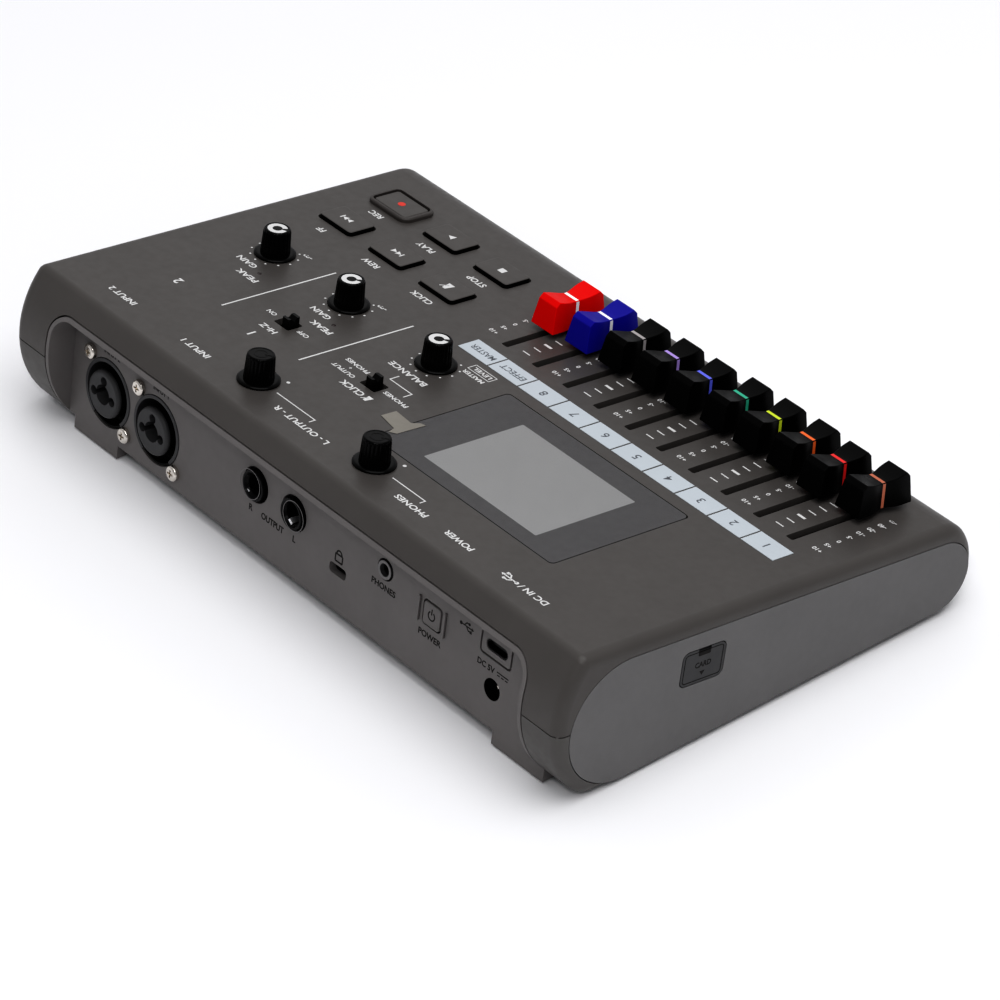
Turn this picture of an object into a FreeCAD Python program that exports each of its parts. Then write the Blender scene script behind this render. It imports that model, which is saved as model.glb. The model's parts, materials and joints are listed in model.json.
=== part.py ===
import FreeCAD, Part

import math
import os

from FreeCAD import Vector

# Portable eight-track field recorder: a wedge-shaped desktop case with ten faders, five knobs,
# six transport keys, a colour display, a recessed connector panel and a card door.
#
# Everything is drawn in the panel frame and tilted onto the table by stand() at the end:
#   X  towards the user's right, 0 in the middle of the case
#   v  along the top panel towards the rear, 0 in the middle of the display
#   w  square to the top panel, 0 on the panel, negative inside the case
# In the finished part +Z is up, -Y is the user's side and the origin is in the middle of the
# part's footprint, on the table.

# ---- driving dimensions, millimetres and degrees -------------------------------------------
PANEL_SLOPE = 7.5          # the top panel falls towards the user
CASE_WIDTH = 256.6
WALL = 2.2
SIDE_WALL = 3.8            # thicker, because the end inlays are let into it
GAP = 0.3                  # running gap between parts that move against each other
SEAM = 0.35                # shadow gap between the two case halves
SEAM_DEPTH = 0.9

REAR_BULGE = (23.35, -20.4, 33.0)     # v, w and radius of the rear face's arc
FRONT_BULGE = (-85.2, -15.6, 18.0)
BOTTOM_LEVEL = -41.9                  # w of the underside at v = 0; it is parallel to the table
TOP_REAR_ROUND = 3.0
TOP_FRONT_ROUND = 10.0
BOTTOM_ROUND = 8.0
END_ROUND = 3.5

SEAM_REAR = (56.2, -23.6)
SEAM_FRONT = (-102.8, -16.4)

INLAY_REAR = (31.0, -24.9, 20.2)      # v, w and radius of the end inlay's two round ends
INLAY_FRONT = (-89.5, -16.4, 11.8)
INLAY_THICK = 2.0
INLAY_GAP = 0.25

BAY_RIGHT = 112.0          # connector bay, seen from the user's side
BAY_LEFT = -112.8
BAY_TOP = -7.2
BAY_CORNER = 8.0
BAY_RIM = 1.4
BAY_GAP = 0.5
PANEL_FACE = 46.5          # v of the flat connector panel
PANEL_THICK = 2.5
LEG_DROP = 0.3             # the panel's legs reach this far below the underside
LEG_FRONT = 41.0
LEG_TOP = -42.0
LEGS = ((85.5, 107.5), (-115.4, -93.0))

FOOT_RADIUS = 5.0
FOOT_PROUD = 1.0
FOOT_SEAT = 0.6
BOSS_RADIUS = 3.4
BOSS_HEIGHT = 18.0
SCREW_HEAD = 2.6
SCREW_RADIUS = 1.4
SCREW_HOLE = 1.6
SCREW_SINK = 1.3
FEET = ((108.0, 24.0), (-108.0, 24.0), (108.0, -80.0), (-108.0, -80.0))

LENS = (-84.9, -4.6, -27.1, 24.8)     # X and v limits
LENS_THICK = 1.5
LENS_GAP = 0.35
LENS_CORNER = 1.6
LCD_VIEW = (-71.0, -20.9, -18.9, 18.9)
LCD_MARGIN = 3.0
LCD_BACK = -6.0
FILM_THICK = 0.15
FILM_INSET = 0.8
FILM_TAB = (                # X and v of the pull tab's corners
    (-9.0, 18.6), (-4.0, 19.4), (-4.4, 16.6), (3.5, 15.3),
    (3.4, 9.7), (-4.6, 10.6), (-5.6, 7.9), (-9.0, 9.4),
)

TILE_STRIP = (-115.3, 25.7, -40.4, -32.2)
TILE_GAP = 0.6
LABEL_THICK = 0.15

TRACKS = ("master", "effect", "8", "7", "6", "5", "4", "3", "2", "1")
FADER_PITCH = 14.11
FADER_FIRST = 18.99
FADER_FRONT = -78.2        # v of a cap's line at the front stop
FADER_REAR = -48.0
FADER_REST = (-70.4, -71.8, -72.8, -73.8, -74.3, -76.1, -76.4, -76.9, -76.0, -78.2)
STEM_BOTTOM = -8.0
STEM_WIDTH = 1.4
STEM_LENGTH = 3.5
SLOT_WIDTH = 2.8
SLOT_REAR = FADER_REAR + STEM_LENGTH / 2 + 1.2
SLOT_FRONT = FADER_FRONT - STEM_LENGTH / 2 - 1.2
UNIT_TOP = -3.2
UNIT_WIDTH = 9.0
UNIT_OVERHANG = 6.0        # the slide potentiometer's case beyond each end of the slot
CAP_LENGTH = 21.4
CAP_WIDTH = 10.2
CAP_TOP_WIDTH = 8.2
CAP_WAIST = 7.0
CAP_FOOT = 2.0
CAP_RIDGE = 12.0
CAP_VALLEY = 10.2
CAP_RIDGE_FROM_LINE = 8.1
CAP_END_DROP = 1.5

KNOBS = {
    "gain_2_knob": (98.3, -18.7),
    "gain_1_knob": (61.5, -18.7),
    "balance_knob": (19.5, -18.7),
    "output_knob": (37.5, 34.3),
    "phones_knob": (-17.2, 34.3),
}
KNOB_FLANGE = 6.6
KNOB_BASE = 4.6
KNOB_TOP = 4.2
KNOB_HEIGHT = 9.4
KNOB_FLUTES = 18
FLUTE_RADIUS = 0.55
SKIRT_LIFT = 0.5
SKIRT_THICK = 1.1
SHAFT_RADIUS = 3.0
SHAFT_HOLE = 3.5
SHAFT_BOTTOM = -6.0

KEY_GAP = 0.6              # shadow gap round a key
KEY_SIZE = (15.6, 10.4)
KEY_CORNER = 1.2
KEY_PROUD = 1.2
KEY_SHOULDER = -1.6         # w of the underside of the key's cap
KEY_TRAVEL = 0.8
KEY_PLUNGER = -5.0          # w of the plunger's tip
KEYS = {
    "record_key": (104.4, -74.1),
    "play_key": (79.5, -74.1),
    "stop_key": (54.6, -74.1),
    "forward_key": (104.4, -52.1),
    "rewind_key": (79.5, -52.1),
    "click_key": (54.6, -52.1),
}
RING_SIZE = (19.6, 13.8)
RING_PROUD = 1.5
RING_CORNER = 3.4
RING_ROUND = 0.7

SWITCH_SLOT = (7.0, 5.8)
SWITCH_LEVER = (3.0, 4.4)
SWITCH_PROUD = 3.0
LEVER_BOTTOM = -4.0
SWITCHES = {"hi_z_switch": (60.8, 5.2, -1.2), "click_out_switch": (18.8, 5.5, 0.0)}

INPUTS = ((92.4, -28.9), (67.6, -29.2))      # X and w of each combined input socket
INPUT_RADIUS = 11.2
INPUT_MOUTH = 10.0
INPUT_CORE = 7.7
INPUT_PROUD = 0.3
CUP_DEPTH = 17.0
CORE_PROUD = 2.0           # the core's flat nose above the panel's face
CORE_SHOULDER = 1.1
PIN_HOLES = (90, 186, 354)                   # degrees round the plug bore
PIN_CIRCLE = 4.5
PIN_RADIUS = 1.5
PIN_DEPTH = 12.0
INPUT_SCREWS = ((9.4, 10.2), (-10.2, -9.4))  # screw centres from the socket's centre
JACK_SCREW_HEAD = 2.55
JACK_SCREW_PROUD = 1.7
LATCH_ANGLES = (-132, -60)                   # degrees round the socket, seen from inside
LATCH_INNER = 10.3
LATCH_TRAVEL = 1.5
LATCH_SINK = 0.4           # the latch's face below the panel's face
LATCH_DEPTH = 3.4
PLUG_RADIUS = 3.25
PLUG_DEPTH = 20.0
OUTPUTS = ((19.4, -22.9), (1.2, -22.9))
OUTPUT_RADIUS = 5.75
OUTPUT_COLLAR = 4.9
OUTPUT_FUNNEL = 4.15       # radius of the lead-in to an output socket's bore
OUTPUT_PROUD = 1.35
PHONES_JACK = (-40.8, -19.4)
PHONES_RADIUS = 3.5
PHONES_COLLAR = 2.8
PHONES_FUNNEL = 2.0
PHONES_PROUD = 0.4
PHONES_DEPTH = 13.0
MINI_PLUG_RADIUS = 1.8
JACK_SINK = 1.6            # depth of the groove round an output or headphone socket's collar
FUNNEL_DEPTH = 1.2
POWER = (-62.5, -23.0)
POWER_SIZE = 7.4
POWER_GAP = 0.5            # shadow gap round the power button
POWER_TRAVEL = 0.8
POWER_THICK = 3.2
POWER_STEM = 6.5
RIB_OFFSET = 5.7           # guard ribs each side of the power button
RIB_SIZE = (0.8, 8.4)
RIB_PROUD = 0.7
USB = (-90.4, -18.5)
USB_SIZE = (9.0, 3.3)
USB_DEPTH = 8.5
USB_FRAME = (-97.1, -83.3, -22.7, -15.9)     # X and w limits of the groove round three sides
GROOVE_WIDTH = 0.7
GROOVE_DEPTH = 1.0
GROOVE_CORNER = 1.6
DC = (-90.4, -31.8)
DC_RADIUS = 3.4
DC_PIN = 0.95
LOCK_SLOT = (-20.5, -30.8)
LOCK_SIZE = (7.6, 3.4)
JACK_BACK = 19.5           # v of the jack board's outer face
INLET_BACK = 27.1          # v of the inlet board's outer face

DOOR_CENTRE = (3.6, -15.8)
DOOR_SIZE = (16.0, 11.1)
DOOR_CORNER = 2.0
CARD_WAY_GROW = -1.5       # the way through the wall is this much smaller than the door

COVER = (-28.5, 28.5, -52.0, 12.0)          # battery cover's X and v limits
COVER_THICK = 2.0
GRIP_COUNT = 4             # finger grooves across the cover's rear end
GRIP_WIDTH = 18.0
GRIP_PITCH = 2.2
GRIP_DEPTH = 0.5
GRIP_MARGIN = 6.0
CELL_RADIUS = 7.1
CELL_LENGTH = 50.5
CELL_PITCH = 15.2
CELL_COUNT = 4
NUB_LENGTH = 1.2
NUB_RADIUS = 2.7
LEAF_THICK = 0.4
LEAF_RADIUS = 5.0
BOX_HEIGHT = 17.0          # inside height of the battery box above the underside
BOX_WALL = 1.3
CASE_SCREWS = ((96.0, 6.0), (-96.0, 6.0), (96.0, -66.0), (-96.0, -66.0))

PEAK_LAMPS = ((90.2, -6.4), (53.4, -6.5))
LAMP_RADIUS = 0.75
BOARD_TOP = -13.0
BOARD_THICK = 1.6

HALF = CASE_WIDTH / 2
TILT = math.radians(PANEL_SLOPE)
BOTTOM_FALL = math.tan(TILT)                # how fast the underside drops with v
BIG = 400.0


def underside(v):
    """w of the case's flat underside at v."""
    return BOTTOM_LEVEL - BOTTOM_FALL * v


UP = Vector(0, math.sin(TILT), math.cos(TILT))       # the table's up, in the panel frame
ALONG = Vector(0, math.cos(TILT), -math.sin(TILT))   # level, towards the rear

X_AXIS = Vector(1, 0, 0)
V_AXIS = Vector(0, 1, 0)
W_AXIS = Vector(0, 0, 1)

# Height of the table below the panel frame's origin, and the middle of the footprint.
FLOOR_OFFSET = FOOT_PROUD - BOTTOM_LEVEL * math.cos(TILT)


def level_v(bulge):
    """Distance of a bulge's centre from the panel frame's origin, measured along the table."""
    return bulge[0] * math.cos(TILT) - bulge[1] * math.sin(TILT)


FOOTPRINT_MIDDLE = (level_v(REAR_BULGE) + REAR_BULGE[2]
                    + level_v(FRONT_BULGE) - FRONT_BULGE[2]) / 2


# ---- building blocks ------------------------------------------------------------------------
def block(x0, x1, v0, v1, w0, w1):
    return Part.makeBox(x1 - x0, v1 - v0, w1 - w0, Vector(x0, v0, w0))


def post(x, v, w0, w1, radius):
    """Round bar along w."""
    return Part.makeCylinder(radius, w1 - w0, Vector(x, v, w0), Vector(0, 0, 1))


def rod(x, w, v0, v1, radius):
    """Round bar along v."""
    return Part.makeCylinder(radius, v1 - v0, Vector(x, v0, w), Vector(0, 1, 0))


def stand_post(x, v, low, high, radius):
    """Round bar square to the underside; low and high are heights above it."""
    base = Vector(x, v, underside(v)) + UP * low
    return Part.makeCylinder(radius, high - low, base, UP)


def runs_along(edge, axis):
    run = edge.Vertexes[-1].Point - edge.Vertexes[0].Point
    return run.Length > 1e-6 and abs(run.dot(axis)) > 0.999 * run.Length


def rounded(solid, radius, axis):
    """Fillet the edges of a block that run along one axis."""
    return solid.makeFillet(radius, [edge for edge in solid.Edges if runs_along(edge, axis)])


def round_level(solid, radius, axis, level):
    """Fillet the edges of a solid that lie at one level of an axis."""
    edges = [
        edge for edge in solid.Edges
        if all(abs(vertex.Point.dot(axis) - level) < 1e-4 for vertex in edge.Vertexes)
        and abs(edge.CenterOfMass.dot(axis) - level) < 1e-4
    ]
    return solid.makeFillet(radius, edges)


def plate(x0, x1, v0, v1, w0, w1, corner):
    """Block with rounded corners in plan."""
    return rounded(block(x0, x1, v0, v1, w0, w1), corner, W_AXIS)


def centred_plate(x, v, size, w0, w1, corner):
    half_x, half_v = size[0] / 2, size[1] / 2
    return plate(x - half_x, x + half_x, v - half_v, v + half_v, w0, w1, corner)


def rear_plate(place, size, v0, v1, corner):
    """Block with rounded corners seen from the rear, centred on (X, w)."""
    x, w = place
    half_x, half_w = size[0] / 2, size[1] / 2
    return rounded(block(x - half_x, x + half_x, v0, v1, w - half_w, w + half_w), corner, V_AXIS)


def prism(points, direction):
    """Prism of a closed polygon of Vectors."""
    return Part.Face(Part.makePolygon(points + [points[0]])).extrude(direction)


def profile_prism(points, x0, x1):
    """Prism along X of a polygon given as (v, w) pairs."""
    return prism([Vector(x0, v, w) for v, w in points], Vector(x1 - x0, 0, 0))


def rear_prism(points, v0, v1):
    """Prism along v of a polygon given as (X, w) pairs."""
    return prism([Vector(x, v0, w) for x, w in points], Vector(0, v1 - v0, 0))


def group(shapes):
    """Separate solids that share one node."""
    return Part.makeCompound([solid for shape in shapes for solid in shape.Solids])


def cut_all(solid, tools):
    return solid.cut(Part.makeCompound([part for tool in tools for part in tool.Solids]))


def fuse_all(*shapes):
    return shapes[0].multiFuse(list(shapes[1:])).removeSplitter()


# ---- case outline ----------------------------------------------------------------------------
def circle_at_top(bulge, side):
    """v where a bulge's circle reaches the top panel's level."""
    v, w, radius = bulge
    return v + side * math.sqrt(radius ** 2 - w ** 2)


def circle_at_underside(bulge, side):
    """Point (v, w) where a bulge's circle meets the underside."""
    v0, w0, radius = bulge
    rise = BOTTOM_LEVEL - w0
    a = 1 + BOTTOM_FALL ** 2
    b = -2 * v0 - 2 * rise * BOTTOM_FALL
    c = v0 ** 2 + rise ** 2 - radius ** 2
    v = (-b + side * math.sqrt(b * b - 4 * a * c)) / (2 * a)
    return (v, underside(v))


TOP_REAR = (circle_at_top(REAR_BULGE, 1), 0.0)
TOP_FRONT = (circle_at_top(FRONT_BULGE, -1), 0.0)
LOW_REAR = circle_at_underside(REAR_BULGE, 1)
LOW_FRONT = circle_at_underside(FRONT_BULGE, -1)


def case_face():
    """Side profile with sharp corners, in the plane X = 0."""
    rear_most = Vector(0, REAR_BULGE[0] + REAR_BULGE[2], REAR_BULGE[1])
    front_most = Vector(0, FRONT_BULGE[0] - FRONT_BULGE[2], FRONT_BULGE[1])
    top_front, top_rear, low_rear, low_front = (
        Vector(0, *corner) for corner in (TOP_FRONT, TOP_REAR, LOW_REAR, LOW_FRONT)
    )
    return Part.Face(Part.Wire([
        Part.LineSegment(top_front, top_rear).toShape(),
        Part.Arc(top_rear, rear_most, low_rear).toShape(),
        Part.LineSegment(low_rear, low_front).toShape(),
        Part.Arc(low_front, front_most, top_front).toShape(),
    ]))


def extrude_profile(face, half_width):
    solid = face.extrude(Vector(2 * half_width, 0, 0))
    solid.translate(Vector(-half_width, 0, 0))
    return solid


def nearest_long_edge(solid, corner):
    """The edge along X that passes nearest to a (v, w) corner."""
    edges = [edge for edge in solid.Edges if runs_along(edge, X_AXIS)]
    return min(edges, key=lambda edge: math.hypot(
        edge.Vertexes[0].Point.y - corner[0], edge.Vertexes[0].Point.z - corner[1]))


def outer_solid():
    """The whole case as one rounded solid."""
    solid = extrude_profile(case_face(), HALF)
    rounds = (
        (TOP_REAR, TOP_REAR_ROUND),
        (TOP_FRONT, TOP_FRONT_ROUND),
        (LOW_REAR, BOTTOM_ROUND),
        (LOW_FRONT, BOTTOM_ROUND),
    )
    for corner, radius in rounds:
        solid = solid.makeFillet(radius, [nearest_long_edge(solid, corner)])
    solid = round_level(solid, END_ROUND, X_AXIS, HALF)
    return round_level(solid, END_ROUND, X_AXIS, -HALF)


def inner_solid(inset, side_inset):
    """The case's profile moved inwards, as a sharp-edged prism."""
    return extrude_profile(case_face().makeOffset2D(-inset), HALF - side_inset)


def below_seam(shift):
    """Everything below the seam plane raised by shift."""
    slope = (SEAM_REAR[1] - SEAM_FRONT[1]) / (SEAM_REAR[0] - SEAM_FRONT[0])
    rear = SEAM_REAR[1] + slope * (BIG - SEAM_REAR[0]) + shift
    front = SEAM_REAR[1] + slope * (-BIG - SEAM_REAR[0]) + shift
    return profile_prism([(-BIG, front), (BIG, rear), (BIG, -BIG), (-BIG, -BIG)], -BIG, BIG)


def bay_prism(inset, face_v):
    """The connector bay's outline seen from the rear, from face_v outwards."""
    x0, x1 = BAY_LEFT + inset, BAY_RIGHT - inset
    top = BAY_TOP - inset
    body = block(x0, x1, face_v, face_v + 40, -80, top)
    uppers = [
        edge for edge in body.Edges
        if runs_along(edge, V_AXIS) and abs(edge.Vertexes[0].Point.z - top) < 1e-6
    ]
    return body.makeFillet(BAY_CORNER - inset, uppers)


def inlay_prism(x0, x1, inset):
    """Tapered stadium of the end inlay between two X positions."""
    rear_v, rear_w, rear_r = INLAY_REAR
    front_v, front_w, front_r = INLAY_FRONT
    run = math.hypot(rear_v - front_v, rear_w - front_w)
    lean = math.atan2(rear_w - front_w, rear_v - front_v)
    spread = math.acos((rear_r - front_r) / run)

    def rear_point(angle):
        radius = rear_r - inset
        return Vector(x0, rear_v + radius * math.cos(angle), rear_w + radius * math.sin(angle))

    def front_point(angle):
        radius = front_r - inset
        return Vector(x0, front_v + radius * math.cos(angle), front_w + radius * math.sin(angle))

    upper, lower = lean + math.pi - spread, lean + math.pi + spread
    return Part.Face(Part.Wire([
        Part.LineSegment(front_point(upper), rear_point(upper)).toShape(),
        Part.Arc(rear_point(upper), rear_point(lean), rear_point(lower)).toShape(),
        Part.LineSegment(rear_point(lower), front_point(lower)).toShape(),
        Part.Arc(front_point(lower), front_point(lean + math.pi), front_point(upper)).toShape(),
    ])).extrude(Vector(x1 - x0, 0, 0))


def door_prism(x0, x1, grow):
    """The card door's rounded outline between two X positions."""
    v, w = DOOR_CENTRE
    half_v, half_w = DOOR_SIZE[0] / 2 + grow, DOOR_SIZE[1] / 2 + grow
    body = block(x0, x1, v - half_v, v + half_v, w - half_w, w + half_w)
    return rounded(body, max(DOOR_CORNER + grow, 0.4), X_AXIS)


def cover_prism(grow, low, high):
    """Slab over the battery cover's outline between two heights above the underside."""
    x0, x1, v0, v1 = COVER
    front = Vector(x0 - grow, v0, underside(v0)) - ALONG * grow
    rear = Vector(x0 - grow, v1, underside(v1)) + ALONG * grow
    points = [front + UP * low, rear + UP * low, rear + UP * high, front + UP * high]
    return prism(points, Vector(x1 - x0 + 2 * grow, 0, 0))


def fader_x(index):
    return FADER_FIRST - FADER_PITCH * index


# ---- case halves -----------------------------------------------------------------------------
def case_blanks(outer):
    """The upper and lower halves before their openings are cut."""
    shell = outer.cut(inner_solid(WALL, SIDE_WALL))
    shell = cut_all(shell, [
        inlay_prism(-HALF - 1, -HALF + INLAY_THICK, -INLAY_GAP),
        inlay_prism(HALF - INLAY_THICK, HALF + 1, -INLAY_GAP),
        door_prism(-HALF - 1, -HALF + SIDE_WALL + 1, CARD_WAY_GROW),
        bay_prism(-BAY_GAP, PANEL_FACE - PANEL_THICK - BAY_GAP),
    ])
    groove = below_seam(0).cut(below_seam(-SEAM)).cut(inner_solid(SEAM_DEPTH, SEAM_DEPTH))
    return shell.cut(below_seam(0)), shell.common(below_seam(0)).cut(groove)


def key_hole(x, v):
    size = (KEY_SIZE[0] + 2 * KEY_GAP, KEY_SIZE[1] + 2 * KEY_GAP)
    return centred_plate(x, v, size, -WALL - 1, RING_PROUD + 1, KEY_CORNER + KEY_GAP)


def make_record_ring():
    """Raised guard on the panel round the record key."""
    x, v = KEYS["record_key"]
    ring = centred_plate(x, v, RING_SIZE, 0.0, RING_PROUD, RING_CORNER)
    return round_level(ring, RING_ROUND, W_AXIS, RING_PROUD).cut(key_hole(x, v))


def make_top_case(blank):
    """Upper half with every opening for the controls."""
    through = -WALL - 1
    x0, x1, v0, v1 = LENS
    grow = LENS_GAP
    cuts = [plate(x0 - grow, x1 + grow, v0 - grow, v1 + grow, -LENS_THICK, 1, LENS_CORNER)]
    x0, x1, v0, v1 = LCD_VIEW
    grow = LCD_MARGIN
    cuts.append(block(x0 - grow, x1 + grow, v0 - grow, v1 + grow, through, 1))
    for index in range(len(TRACKS)):
        middle = (SLOT_REAR + SLOT_FRONT) / 2
        size = (SLOT_WIDTH, SLOT_REAR - SLOT_FRONT)
        cuts.append(centred_plate(fader_x(index), middle, size, through, 1, 0.6))
    for x, v in KNOBS.values():
        cuts.append(post(x, v, through, 1, SHAFT_HOLE))
    for x, v in KEYS.values():
        cuts.append(key_hole(x, v))
    for x, v, _ in SWITCHES.values():
        cuts.append(centred_plate(x, v, SWITCH_SLOT, through, 1, 0.6))
    for x, v in PEAK_LAMPS:
        cuts.append(post(x, v, through, 1, LAMP_RADIUS))
    return cut_all(blank, cuts)


def make_bottom_case(blank):
    """Lower half with the battery box, screw bosses and foot seats."""
    box = cover_prism(GAP + BOX_WALL, 1, BOX_HEIGHT + BOX_WALL)
    bosses = [stand_post(x, v, 1, BOSS_HEIGHT, BOSS_RADIUS) for x, v in CASE_SCREWS]
    cuts = [cover_prism(GAP, -1, BOX_HEIGHT)]
    cuts += [stand_post(x, v, -1, FOOT_SEAT, FOOT_RADIUS + 0.05) for x, v in FEET]
    for x, v in CASE_SCREWS:
        cuts.append(stand_post(x, v, -1, SCREW_SINK, SCREW_HEAD + 0.2))
        cuts.append(stand_post(x, v, 0, BOSS_HEIGHT - 2, SCREW_RADIUS))
    return cut_all(fuse_all(blank, box, *bosses), cuts)


def make_battery_cover():
    """Snap-in lid that swings down about its front edge."""
    grips = []
    for step in range(GRIP_COUNT):
        v = COVER[3] - GRIP_MARGIN - step * GRIP_PITCH
        base = Vector(-GRIP_WIDTH / 2, v, underside(v)) - UP * GRIP_DEPTH
        corners = [base, base + UP * 2 * GRIP_DEPTH, base + UP * 2 * GRIP_DEPTH + ALONG, base + ALONG]
        grips.append(prism(corners, Vector(GRIP_WIDTH, 0, 0)))
    return cut_all(cover_prism(0, 0, COVER_THICK), grips)


def cell_line(row):
    """Start of a cell's axis in one of the four rows."""
    middle_v = (COVER[2] + COVER[3]) / 2
    centre = Vector(0, middle_v, underside(middle_v)) + UP * (COVER_THICK + 0.4 + CELL_RADIUS)
    return centre + ALONG * ((row - (CELL_COUNT - 1) / 2) * CELL_PITCH)


def make_cells():
    """Four size AA cells lying along X, turned alternately end for end."""
    cells = []
    for row in range(CELL_COUNT):
        turn = 1 if row % 2 == 0 else -1
        way = X_AXIS * turn
        start = cell_line(row) - way * (CELL_LENGTH / 2)
        can = Part.makeCylinder(CELL_RADIUS, CELL_LENGTH - NUB_LENGTH, start, way)
        tip = Part.makeCylinder(NUB_RADIUS, NUB_LENGTH, start + way * (CELL_LENGTH - NUB_LENGTH), way)
        cells.append(can.fuse(tip).removeSplitter())
    return group(cells)


def make_contacts():
    """A sprung leaf at each end of every cell."""
    leaves = []
    inner_end = -COVER[0] + GAP
    rise = inner_end - CELL_LENGTH / 2 - LEAF_THICK
    for row in range(CELL_COUNT):
        centre = cell_line(row)
        for side in (-1, 1):
            foot = centre + X_AXIS * (side * inner_end)
            way = X_AXIS * -side
            leaf = Part.makeCylinder(LEAF_RADIUS, LEAF_THICK, foot, way)
            bump = Part.makeCone(3.5, 1.5, rise, foot + way * LEAF_THICK, way)
            leaves.append(leaf.fuse(bump).removeSplitter())
    return group(leaves)


def make_feet():
    return group([stand_post(x, v, -FOOT_PROUD, FOOT_SEAT, FOOT_RADIUS) for x, v in FEET])


def make_case_screws():
    screws = []
    for x, v in CASE_SCREWS:
        head = stand_post(x, v, SCREW_SINK - 1.1, SCREW_SINK, SCREW_HEAD)
        shank = stand_post(x, v, SCREW_SINK, BOSS_HEIGHT - 3, SCREW_RADIUS)
        screws.append(head.fuse(shank).removeSplitter())
    return group(screws)


# ---- connector panel and its sockets -----------------------------------------------------------
def panel_leg(outer, x0, x1):
    """Leg from the connector panel down to the table, where the case curves away above it."""
    points = [(v, underside(v) - LEG_DROP) for v in (LEG_FRONT, PANEL_FACE)]
    points += [(PANEL_FACE, LEG_TOP), (LEG_FRONT, LEG_TOP)]
    return profile_prism(points, x0, x1).cut(outer)


def make_rear_panel(outer):
    """Flat panel with a rim that follows the case, and two legs down to the table."""
    back, front = PANEL_FACE - PANEL_THICK, PANEL_FACE + 1
    tray = outer.common(bay_prism(0, back)).cut(bay_prism(BAY_RIM, PANEL_FACE))
    panel = fuse_all(tray, *[panel_leg(outer, x0, x1) for x0, x1 in LEGS])
    holes = [(place, INPUT_RADIUS + 0.1) for place in INPUTS]
    holes += [(place, OUTPUT_RADIUS) for place in OUTPUTS]
    holes += [(PHONES_JACK, PHONES_RADIUS), (DC, DC_RADIUS)]
    holes += [((x + dx, w + dw), SCREW_HOLE) for x, w in INPUTS for dx, dw in INPUT_SCREWS]
    cuts = [rod(x, w, back - 1, front, radius) for (x, w), radius in holes]
    size = (POWER_SIZE + 2 * POWER_GAP, POWER_SIZE + 2 * POWER_GAP)
    cuts.append(rear_plate(POWER, size, back - 1, front, 1.4))
    size = (USB_SIZE[0] + GAP, USB_SIZE[1] + GAP)
    cuts.append(rear_plate(USB, size, back - 1, front, size[1] / 2 - 0.01))
    cuts.append(rear_plate(LOCK_SLOT, LOCK_SIZE, back - 1, front, 1.2))
    x0, x1, w0, w1 = USB_FRAME
    middle, size = ((x0 + x1) / 2, w1), (x1 - x0, 2 * (w1 - w0))
    inside = (size[0] - 2 * GROOVE_WIDTH, size[1] - 2 * GROOVE_WIDTH)
    frame = rear_plate(middle, size, PANEL_FACE - GROOVE_DEPTH, front, GROOVE_CORNER)
    frame = frame.cut(rear_plate(middle, inside, 0, BIG, GROOVE_CORNER - GROOVE_WIDTH))
    cuts.append(frame.common(block(x0, x1, 0, BIG, w0, w1)))
    ribs = [
        rear_plate((POWER[0] + offset, POWER[1]), RIB_SIZE, back, PANEL_FACE + RIB_PROUD, 0.3)
        for offset in (-RIB_OFFSET, RIB_OFFSET)
    ]
    return fuse_all(cut_all(panel, cuts), *ribs)


def latch_sector(x, w, inner, outer_radius, v0, v1, spare=0.0):
    """Piece of a ring round an input socket, over the latch's angles."""
    reach = 40.0
    start, end = (math.radians(angle) for angle in LATCH_ANGLES)
    start -= spare
    end += spare
    middle = (start + end) / 2
    fan = [(x, w)]
    for angle in (start, middle, end):
        fan.append((x + reach * math.cos(angle), w + reach * math.sin(angle)))
    ring = rod(x, w, v0, v1, outer_radius).cut(rod(x, w, v0, v1, inner))
    return ring.common(rear_prism(fan, v0, v1))


def make_input_jack(place):
    """Combined socket: a flanged cup round a proud core with a plug bore and three sockets."""
    x, w = place
    face = PANEL_FACE + INPUT_PROUD
    cup_floor = PANEL_FACE - CUP_DEPTH
    core_face = PANEL_FACE + CORE_PROUD
    shell = rod(x, w, JACK_BACK, face, INPUT_RADIUS)
    shell = round_level(shell, INPUT_PROUD * 0.8, V_AXIS, face)
    shell = shell.cut(rod(x, w, cup_floor, face + 1, INPUT_MOUTH))
    core = rod(x, w, cup_floor, core_face, INPUT_CORE)
    core = round_level(core, CORE_SHOULDER, V_AXIS, core_face)
    lugs = []
    for dx, dw in INPUT_SCREWS:
        lug = rod(x + dx, w + dw, PANEL_FACE - 8, PANEL_FACE - PANEL_THICK - 0.1, 4.4)
        lugs.append(lug.cut(rod(x, w, 0, BIG, INPUT_MOUTH + GAP)))
    cuts = [rod(x, w, core_face - PLUG_DEPTH, core_face + 1, PLUG_RADIUS)]
    for degrees in PIN_HOLES:
        angle = math.radians(degrees)
        hole_x, hole_w = x + PIN_CIRCLE * math.cos(angle), w + PIN_CIRCLE * math.sin(angle)
        cuts.append(rod(hole_x, hole_w, core_face - PIN_DEPTH, core_face + 1, PIN_RADIUS))
    for dx, dw in INPUT_SCREWS:
        cuts.append(rod(x + dx, w + dw, 0, BIG, SCREW_RADIUS + 0.05))
    recess = PANEL_FACE - LATCH_SINK - LATCH_DEPTH - LATCH_TRAVEL - GAP
    cuts.append(latch_sector(x, w, LATCH_INNER - GAP, 2 * INPUT_RADIUS, recess, face + 1, 0.05))
    return cut_all(fuse_all(shell, core, *lugs), cuts)


def make_latch(place):
    """Release tab below an input socket."""
    x, w = place
    face = PANEL_FACE - LATCH_SINK
    return latch_sector(x, w, LATCH_INNER, INPUT_RADIUS - GAP, face - LATCH_DEPTH, face)


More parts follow.
